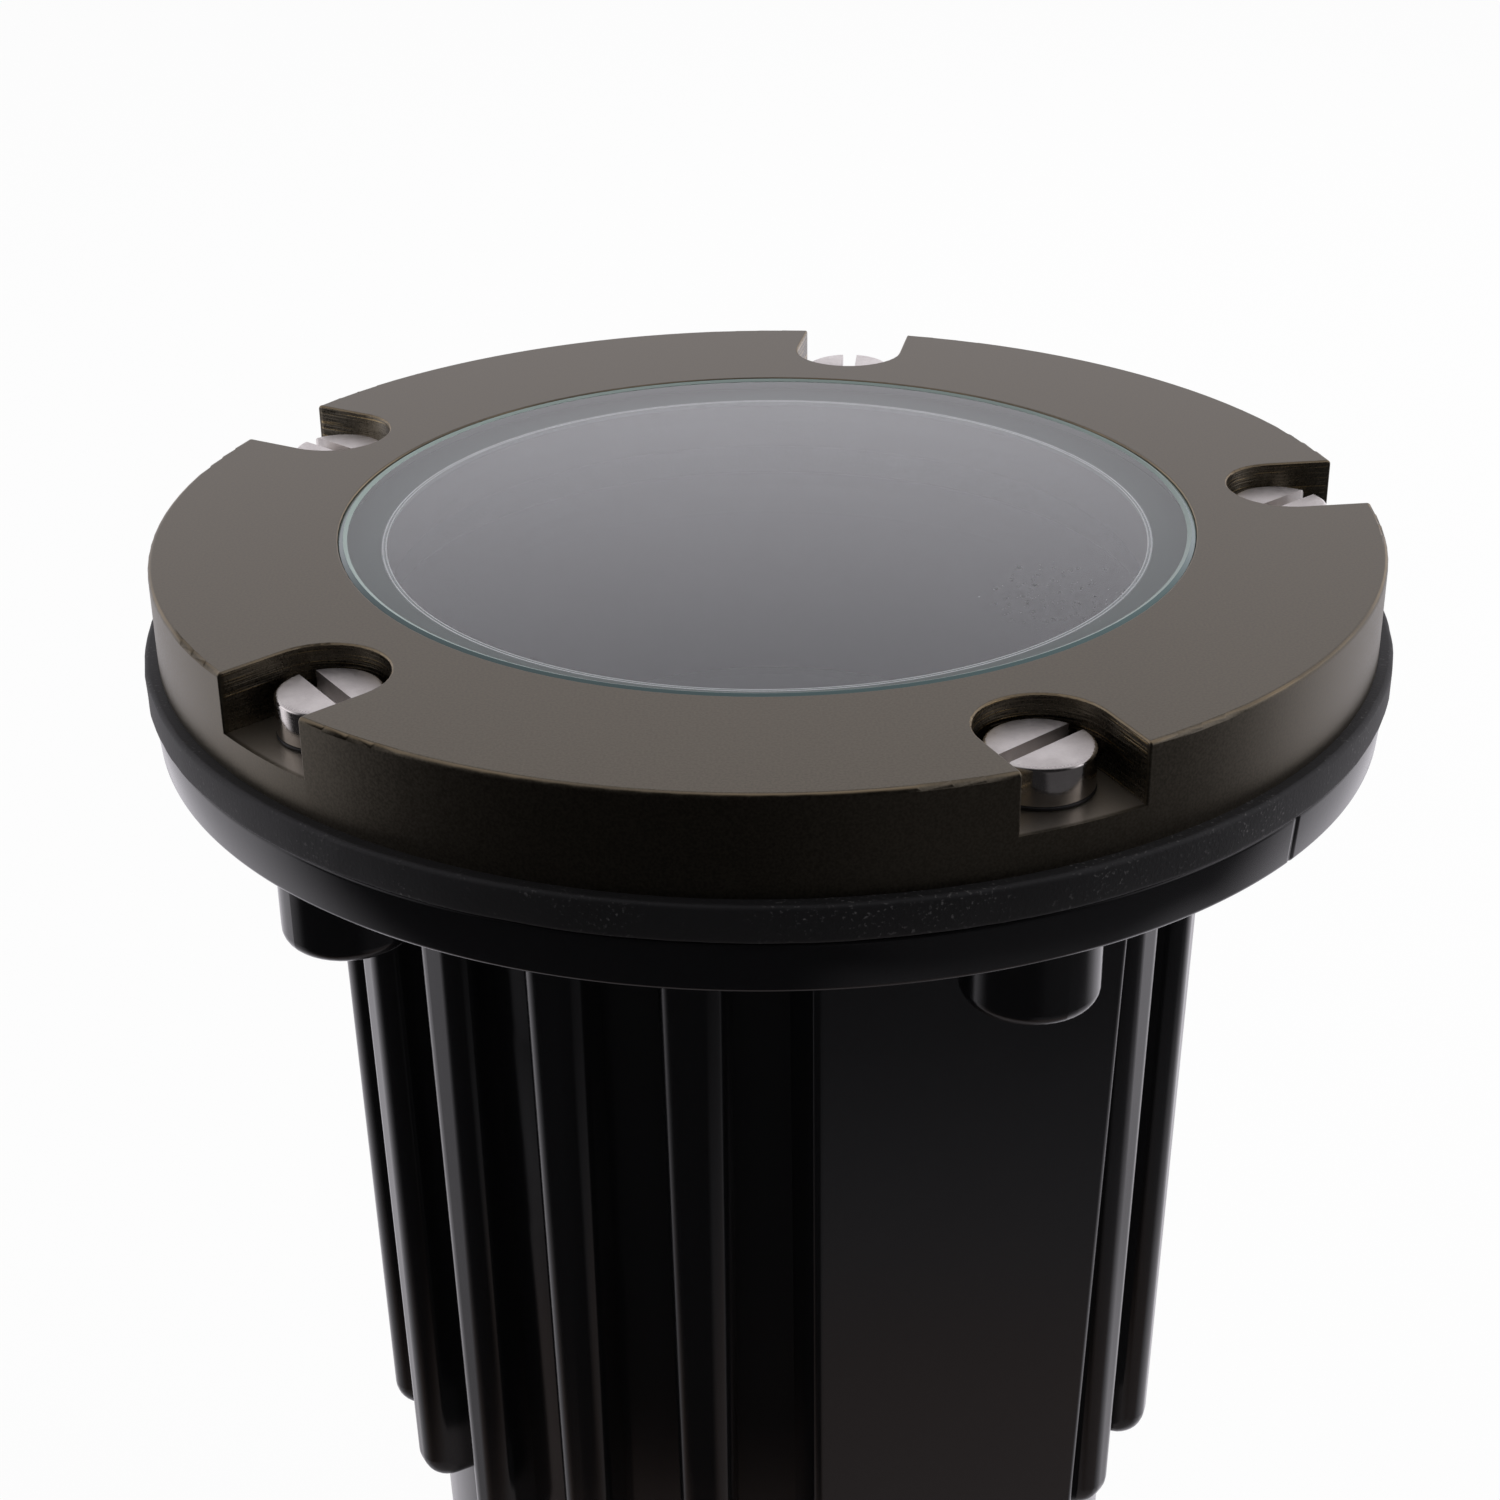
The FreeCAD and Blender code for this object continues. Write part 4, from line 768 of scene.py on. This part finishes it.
def wind_thread(tree, given):
    """A ridge wound around the core."""
    middle = math_node(tree, "SUBTRACT", given["Thread Radius"], given["Thread Depth"])
    helix = add_node(tree, "GeometryNodeCurveSpiral", {
        "Resolution": HELIX_STEPS, "Rotations": given["Thread Turns"], "Start Radius": middle,
        "End Radius": middle, "Height": given["Thread Length"], "Reverse": False})
    upright = add_node(tree, "GeometryNodeSetCurveNormal", {"Curve": helix.outputs[0]}, mode="Z_UP")
    ridge = add_node(tree, "GeometryNodeCurvePrimitiveCircle", {
        "Resolution": RIDGE_SIDES, "Radius": given["Thread Depth"]})
    thread = add_node(tree, "GeometryNodeCurveToMesh", {
        "Curve": upright.outputs[0], "Profile Curve": ridge.outputs["Curve"], "Fill Caps": True})
    foot = add_node(tree, "ShaderNodeCombineXYZ", {"Z": given["Thread Foot"]})
    thread = add_node(tree, "GeometryNodeTransform", {
        "Geometry": thread.outputs[0], "Translation": foot.outputs[0]})
    return thread.outputs[0]


def make_screw_tree():
    """Cuts a slot into a turned screw, winds its thread and puts it in place."""
    tree, given = new_tree(
        "slotted_screw", Vector=["Place"], Material=["Finish"],
        Float=["Head Top", "Slot Width", "Slot Depth", "Thread Radius", "Thread Depth",
               "Thread Length", "Thread Turns", "Thread Foot", "Turn"])
    whole = join_parts(tree, cut_slot(tree, given), wind_thread(tree, given))
    position = tree.nodes.new("GeometryNodeInputPosition").outputs[0]
    own = add_node(tree, "GeometryNodeStoreNamedAttribute", {
        "Geometry": whole, "Name": "own_place", "Value": position},
        data_type="FLOAT_VECTOR", domain="POINT")
    spot = add_node(tree, "GeometryNodePoints", {"Count": 1, "Position": given["Place"]})
    angles = add_node(tree, "ShaderNodeCombineXYZ", {"Z": given["Turn"]})
    turned = add_node(tree, "FunctionNodeEulerToRotation", {"Euler": angles.outputs[0]})
    placed = add_node(tree, "GeometryNodeInstanceOnPoints", {
        "Points": spot.outputs[0], "Instance": own.outputs[0], "Rotation": turned.outputs[0]})
    end_tree(tree, placed.outputs[0], given["Finish"])
    return tree


screw_tree = make_screw_tree()
print("screw tree:", len(screw_tree.nodes), "nodes")

# %% [markdown]
# ### Screws in place
# The screws sit on one circle, a fifth of a turn apart, so all their places follow from one angle.
# Their slots ended up at different angles. Random ones would do, but the photograph shows them, so
# they were read off it, for the two at the back as far as they can be seen.

# %% Screws in place
SCREW_CIRCLE, SCREW_SEAT, SCREW_SIDE = 52.4 * MM, 159.5 * MM, 295.4
HEAD_RADIUS, HEAD_TOP, SHANK_FOOT, CORE_RADIUS, NECK_RADIUS = 4.85, 3.6, -16, 2.58, 2.95
SLOT_TURNS = [42, 40, 85, -40, -56]
SCREW_STEP, SCREW_STEPS = 360 / len(SLOT_TURNS), 96
SCREW_SIZES = {
    "Head Top": HEAD_TOP * MM, "Slot Width": 1.6 * MM, "Slot Depth": 1.7 * MM,
    "Thread Radius": 3 * MM, "Thread Depth": 0.36 * MM, "Thread Length": 12 * MM,
    "Thread Turns": 12.0, "Thread Foot": -15.2 * MM}


def screw_spot(n):
    """Where the screw with a number from 0 sits on its circle."""
    angle = math.radians(SCREW_SIDE + SCREW_STEP * n)
    return SCREW_CIRCLE * math.cos(angle), SCREW_CIRCLE * math.sin(angle)


screw_outline = rounded(mm([
    (0, SHANK_FOOT), (2.0, SHANK_FOOT), (CORE_RADIUS, -15.3), (CORE_RADIUS, -3),
    (NECK_RADIUS, -2.6), (NECK_RADIUS, 0), (HEAD_RADIUS, 0, 0.15), (HEAD_RADIUS, HEAD_TOP, 0.45),
    (0, HEAD_TOP)]))
for n, slot_turn in enumerate(SLOT_TURNS):
    core = lathe("screw_core", screw_outline, SCREW_STEPS)
    mesh = grow("screw_%d" % (n + 1), core, screw_tree, {
        **SCREW_SIZES, "Place": (*screw_spot(n), SCREW_SEAT), "Turn": math.radians(slot_turn),
        "Finish": finishes["nickel_steel"]})
    add_piece("slotted_screw_%d" % (n + 1), mesh, "nickel_steel",
              "screw_%d" % (n + 1), "face_screw_%d" % (n + 1))
    print("screw", n + 1, "has", len(mesh.polygons), "faces")

# %% [markdown]
# ## Screw washers
# A thin black washer lies under each screw head. A wider one is usual, but the photograph shows no
# more than a dark line there, which is shade. So the washer is turned just as wide as the head, and
# only its black edge shows below it, as painted shade for that dark line.

# %% Screw washers
WASHER_EDGE, WASHER_HOLE, WASHER_HEIGHT, WASHER_ROUND = 4.9, 3.3, 0.3, 0.1
WASHER_STEPS = 80
# Painted shade: the washer's black edge stands for the dark shadow line under each head.
shade_line_washer_outline = rounded(mm([
    (WASHER_HOLE, -WASHER_HEIGHT), (WASHER_EDGE, -WASHER_HEIGHT, WASHER_ROUND),
    (WASHER_EDGE, 0, WASHER_ROUND), (WASHER_HOLE, 0)]))
for n in range(len(SLOT_TURNS)):
    mesh = lathe("washer_%d" % (n + 1), shade_line_washer_outline, WASHER_STEPS, closed=True)
    mesh.transform(Matrix.Translation((*screw_spot(n), SCREW_SEAT)))
    add_piece("shade_line_washer_%d" % (n + 1), mesh, "black_steel",
              "washer_%d" % (n + 1), "face_washer_%d" % (n + 1))
print("washers:", len(SLOT_TURNS))

# %% [markdown]
# ## Face glass
# The glass is a flat disc, flush with the ring and bonded to a ledge inside it. Along the ledge's
# edge the bond has squeezed out to two hair-thin pale lines on the underside, which show through
# the glass. The lines also glow a little: their emission is painted light for the light that runs
# inside the glass. Around the rim a low bead of grey sealant closes the joint up to the ring's
# edge, and on the bead's outer side the green body of the glass shows. Lines and bead could be
# pieces of their own. They are bands of the same turned mesh with other finishes, so that no gap
# opens between them.

# %% Face glass
GLASS_FOOT, GLASS_TOP, GLASS_EDGE, GLASS_STEPS = 160.86, 164.85, 41.8, 192
BOND_START, BOND_DEPTH = 37.9, 0.06
BEAD_START, BEAD_MIDDLE, BEAD_EDGE, BEAD_TOP = 41.1, 41.5, 41.95, 165.05
BEAD_FOOT, BEAD_SHOULDER, BEAD_BAND = BEAD_TOP - 0.6, BEAD_TOP - 0.25, GLASS_TOP - 0.35
GLASS_ROUND, BEAD_ROUND, UNDERSIDE = 0.2, 0.1, GLASS_FOOT + 0.01
LINES, LINE_WIDTH = (37.36, 37.68), 0.13
GLASS_MATERIALS = ["clear_glass", "glowing_ground_glass", "edge_glass", "grey_silicone"]

glass_corners = [(0, GLASS_FOOT)]
for line in LINES:
    glass_corners += [(line, GLASS_FOOT), (line + LINE_WIDTH, GLASS_FOOT)]
glass_corners += [
    (BOND_START, GLASS_FOOT), (BOND_START + BOND_DEPTH, GLASS_FOOT - BOND_DEPTH),
    (GLASS_EDGE, GLASS_FOOT - BOND_DEPTH, GLASS_ROUND), (GLASS_EDGE, BEAD_FOOT),
    (BEAD_EDGE, BEAD_SHOULDER), (BEAD_MIDDLE, BEAD_TOP, BEAD_ROUND), (BEAD_START, GLASS_TOP),
    (0, GLASS_TOP)]
glass_mesh = lathe("face_glass", rounded(mm(glass_corners)), GLASS_STEPS)
for material in GLASS_MATERIALS:
    glass_mesh.materials.append(finishes[material])


def glass_band(radius, height):
    """The finish of a place on the glass, in millimetres."""
    if height < UNDERSIDE and any(0 < radius - line < LINE_WIDTH for line in LINES):
        return "glowing_ground_glass"
    if radius > BEAD_START and height > BEAD_BAND:
        return "edge_glass" if radius > BEAD_MIDDLE else "grey_silicone"
    return "clear_glass"


for face in glass_mesh.polygons:
    band = glass_band(math.hypot(face.center.x, face.center.y) / MM, face.center.z / MM)
    face.material_index = GLASS_MATERIALS.index(band)
add_piece("face_glass", glass_mesh, "clear_glass", "face_ring", "lens_glass", sharp=5)
print("glass:", len(glass_mesh.polygons), "faces")

# %% [markdown]
# ## Flat washers
# The gasket and the housing's flange are both flat washers with the same screw circle. Holes could
# be cut out of a disc one after the other, but a flat curve with holes does it at once, and Blender
# thickens it with a round edge. Afterwards the points of the rim can be moved in or out.

# %% Flat washers
MOUTH_STEPS, HOLE_STEPS, EDGE_PARTS = 160, 40, 3


def curve_mesh(curve):
    """A curve as a plain mesh."""
    holder = bpy.data.objects.new(curve.name, curve)
    mesh = bpy.data.meshes.new_from_object(holder)
    bpy.data.objects.remove(holder)
    return mesh


def add_circle(curve, x, y, radius, steps):
    """A closed circle of straight runs in a flat curve."""
    spline = curve.splines.new("POLY")
    spline.points.add(steps - 1)
    spline.use_cyclic_u = True
    for i, point in enumerate(spline.points):
        angle = 2 * math.pi * i / steps
        point.co = (x + radius * math.cos(angle), y + radius * math.sin(angle), 0, 1)


def cut_washer(name, foot, top, edge, outer, mouth, hole, steps):
    """A flat washer with a mouth, screw holes and rounded edges, from sizes in millimetres."""
    curve = bpy.data.curves.new(name, "CURVE")
    curve.dimensions, curve.fill_mode = "2D", "BOTH"
    curve.extrude = ((top - foot) / 2 - edge) * MM
    curve.bevel_depth, curve.bevel_resolution = edge * MM, EDGE_PARTS
    add_circle(curve, 0, 0, (outer - edge) * MM, steps)
    add_circle(curve, 0, 0, (mouth + edge) * MM, MOUTH_STEPS)
    for n in range(len(SLOT_TURNS)):
        add_circle(curve, *screw_spot(n), (hole + edge) * MM, HOLE_STEPS)
    mesh = curve_mesh(curve)
    mesh.transform(Matrix.Translation((0, 0, (foot + top) / 2 * MM)))
    return mesh


def reshape_rim(mesh, start, change):
    """Moves points beyond a radius (mm) outwards by what a function of their place gives (mm)."""
    for vertex in mesh.vertices:
        radius = math.hypot(vertex.co.x, vertex.co.y)
        if radius > start * MM:
            factor = 1 + change(vertex.co) * MM / radius
            vertex.co = (vertex.co.x * factor, vertex.co.y * factor, vertex.co.z)


print("flat washers get", len(SLOT_TURNS), "screw holes")

# %% [markdown]
# ### Gasket
# The gasket is cut from a sheet of soft rubber, a little wider than the ring. A perfect circle
# would look like metal. So its rim is made slightly uneven with two waves of noise, which are the
# same in every run.

# %% Gasket
GASKET_FOOT, GASKET_TOP, GASKET_RIM = 152.1, 155.6, 60.6
WANDER, FAST_SHARE = 0.11, 0.6
SLOW_WAVE, FAST_WAVE = (140, 140, 300), (500, 500, 900)


def uneven(spot):
    """How far a rim cut in soft rubber wanders."""
    slow, fast = (noise_value(Vector([c * scale for c, scale in zip(spot, wave)]))
                  for wave in (SLOW_WAVE, FAST_WAVE))
    return WANDER * (slow + FAST_SHARE * fast)


gasket_mesh = cut_washer("gasket_cut", GASKET_FOOT, GASKET_TOP, edge=0.45, outer=61.35, mouth=38.2,
                         hole=3.3, steps=240)
reshape_rim(gasket_mesh, GASKET_RIM, uneven)
add_piece("rubber_gasket", gasket_mesh, "black_rubber", "housing", "flange_gasket", sharp=50)
print("gasket:", len(gasket_mesh.polygons), "faces")

# %% [markdown]
# ### Flange
# The flange is the housing's upper rim. The CAD solid is plain there. A moulding also has a slight
# slope, which lets it leave its mould, and a fine seam where two halves of the mould met. Both are
# made by moving the rim's points, because a seam in the finish alone would vanish in the outline.

# %% Flange
FLANGE_FOOT, FLANGE_SLOPE, FLANGE_RIM = 147.1, 0.4, 60.2
SEAM_SIDE, SEAM_DEPTH, SEAM_HALF = 319.1, 0.22, 0.3


def sloped(spot):
    """The flange's slope, and the seam's groove."""
    away = math.degrees(math.atan2(spot.y, spot.x)) - SEAM_SIDE
    seam = max(0.0, 1 - abs((away + 180) % 360 - 180) / SEAM_HALF)
    slope = -FLANGE_SLOPE * (GASKET_FOOT - spot.z / MM) / (GASKET_FOOT - FLANGE_FOOT)
    return slope - SEAM_DEPTH * seam


flange_mesh = cut_washer("flange_cut", FLANGE_FOOT, GASKET_FOOT, edge=0.5, outer=61.0, mouth=38.6,
                         hole=4.22, steps=1440)
reshape_rim(flange_mesh, FLANGE_RIM, sloped)
add_piece("moulded_flange", flange_mesh, "black_plastic", "housing", "housing_flange", sharp=50)
print("flange:", len(flange_mesh.polygons), "faces")

# %% [markdown]
# ## Lamp front
# A reflector lamp with light-emitting diodes has a clear front with rows of small bulges, which
# spread the beam. A bumpy finish would look flat from the side, so the bulges are real. A tree of
# nodes lays out a honeycomb of points, drops those beyond the rim and puts a low dome on each.

# %% Dome tree
DOME_ROWS, DOME_SEGMENTS, DOME_RINGS = 17, 10, 6
ROW_SHARE = math.sqrt(0.75)


def honeycomb(tree, given, half):
    """Points in a honeycomb, those beyond the field's radius dropped."""
    row = math_node(tree, "MULTIPLY", given["Pitch"], ROW_SHARE)
    grid = add_node(tree, "GeometryNodeMeshGrid", {
        "Size X": math_node(tree, "MULTIPLY", given["Pitch"], DOME_ROWS - 1.0),
        "Size Y": math_node(tree, "MULTIPLY", row, DOME_ROWS - 1.0),
        "Vertices X": DOME_ROWS, "Vertices Y": DOME_ROWS})
    place = tree.nodes.new("GeometryNodeInputPosition").outputs[0]
    parts = add_node(tree, "ShaderNodeSeparateXYZ", {0: place})
    number = math_node(tree, "ROUND", math_node(tree, "DIVIDE", parts.outputs["Y"], row))
    shift = math_node(tree, "MULTIPLY", math_node(tree, "PINGPONG", number, 1.0), half)
    offset = add_node(tree, "ShaderNodeCombineXYZ", {"X": shift, "Z": given["Level"]})
    comb = add_node(tree, "GeometryNodeSetPosition", {
        "Geometry": grid.outputs["Mesh"], "Offset": offset.outputs[0]})
    flat = vector_node(tree, "MULTIPLY", place, (1.0, 1.0, 0.0))
    reach = add_node(tree, "ShaderNodeVectorMath", {0: flat.outputs[0]}, operation="LENGTH")
    beyond = math_node(tree, "GREATER_THAN", reach.outputs["Value"], given["Field Radius"])
    kept = add_node(tree, "GeometryNodeDeleteGeometry", {
        "Geometry": comb.outputs[0], "Selection": beyond})
    return kept.outputs[0]


def make_dome_tree():
    """Low domes on a honeycomb of points within a radius."""
    tree, given = new_tree("dome_field", Float=["Pitch", "Field Radius", "Dome Height", "Level"],
                           Material=["Finish"])
    half = math_node(tree, "MULTIPLY", given["Pitch"], 0.5)
    ball = add_node(tree, "GeometryNodeMeshUVSphere", {
        "Segments": DOME_SEGMENTS, "Rings": DOME_RINGS, "Radius": half})
    flatten = add_node(tree, "ShaderNodeCombineXYZ", {
        "X": 1.0, "Y": 1.0, "Z": math_node(tree, "DIVIDE", given["Dome Height"], half)})
    domes = add_node(tree, "GeometryNodeInstanceOnPoints", {
        "Points": honeycomb(tree, given, half), "Instance": ball.outputs["Mesh"],
        "Scale": flatten.outputs[0]})
    end_tree(tree, join_parts(tree, given["Geometry"], domes.outputs[0]), given["Finish"])
    return tree


dome_tree = make_dome_tree()
print("dome tree:", len(dome_tree.nodes), "nodes")

# %% [markdown]
# ### Lamp front in place
# The front itself is a clear disc with a raised rim, which holds it in the lamp's shell. A flat
# disc would do for most views, but the rim catches light seen from above, so the disc is turned
# with it and then given its bulges.

# %% Lamp front
FRONT_FOOT, FRONT_FACE, FRONT_RIM, FRONT_EDGE, FRONT_STEPS = 123, 124.7, 124.9, 22.4, 128
front_outline = rounded(mm([
    (0, FRONT_FOOT), (FRONT_EDGE, FRONT_FOOT), (FRONT_EDGE, FRONT_RIM, 0.4),
    (21.2, FRONT_RIM, 0.3), (21.0, FRONT_FACE), (0, FRONT_FACE)]))
front_disc = lathe("front_disc", front_outline, FRONT_STEPS)
front_mesh = grow("lamp_front", front_disc, dome_tree, {
    "Pitch": 3.1 * MM, "Field Radius": 19.3 * MM, "Dome Height": 0.6 * MM, "Level": 124.65 * MM,
    "Finish": finishes["lamp_glass"]})
add_piece("lamp_front", front_mesh, "lamp_glass", "lamp", "lamp_lens")
print("lamp front:", len(front_mesh.polygons), "faces")

# %% [markdown]
# ## Leads
# Two short insulated wires run from the lamp's socket to the terminal block. Each wire is one
# smooth tube that follows the bracket at its lower end and the lamp at its upper end, and bends
# between them. It rides on no body, so it keeps this shape when the lamp tilts.

# %% Leads
LEAD_ROUTE = [(3, 69.6), (3, 64), (3, 57), (-3, 56), (-12.6, 56)]
LEAD_RADIUS, LEAD_APART = 0.9, 2.65
LEAD_SIDES, LEAD_STEPS, LEAD_ORDER = 4, 10, 4


def draw_lead(name, y):
    """A tube along a smooth curve that the route's points steer."""
    curve = bpy.data.curves.new(name, "CURVE")
    curve.dimensions = "3D"
    curve.bevel_depth, curve.bevel_resolution = LEAD_RADIUS * MM, LEAD_SIDES
    curve.use_fill_caps, curve.resolution_u = True, LEAD_STEPS
    spline = curve.splines.new("NURBS")
    spline.points.add(len(LEAD_ROUTE) - 1)
    for point, (x, z) in zip(spline.points, LEAD_ROUTE):
        point.co = (x * MM, y * MM, z * MM, 1)
    spline.use_endpoint_u = True
    spline.order_u = LEAD_ORDER
    return curve_mesh(curve)


for name, node, y in (("front_wire", "front_lead", -LEAD_APART),
                      ("rear_wire", "rear_lead", LEAD_APART)):
    wire = add_piece(name, draw_lead(name, y), "lead_rubber", None, node)
    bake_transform(wire)
    print(name, "has", len(wire.data.polygons), "faces")
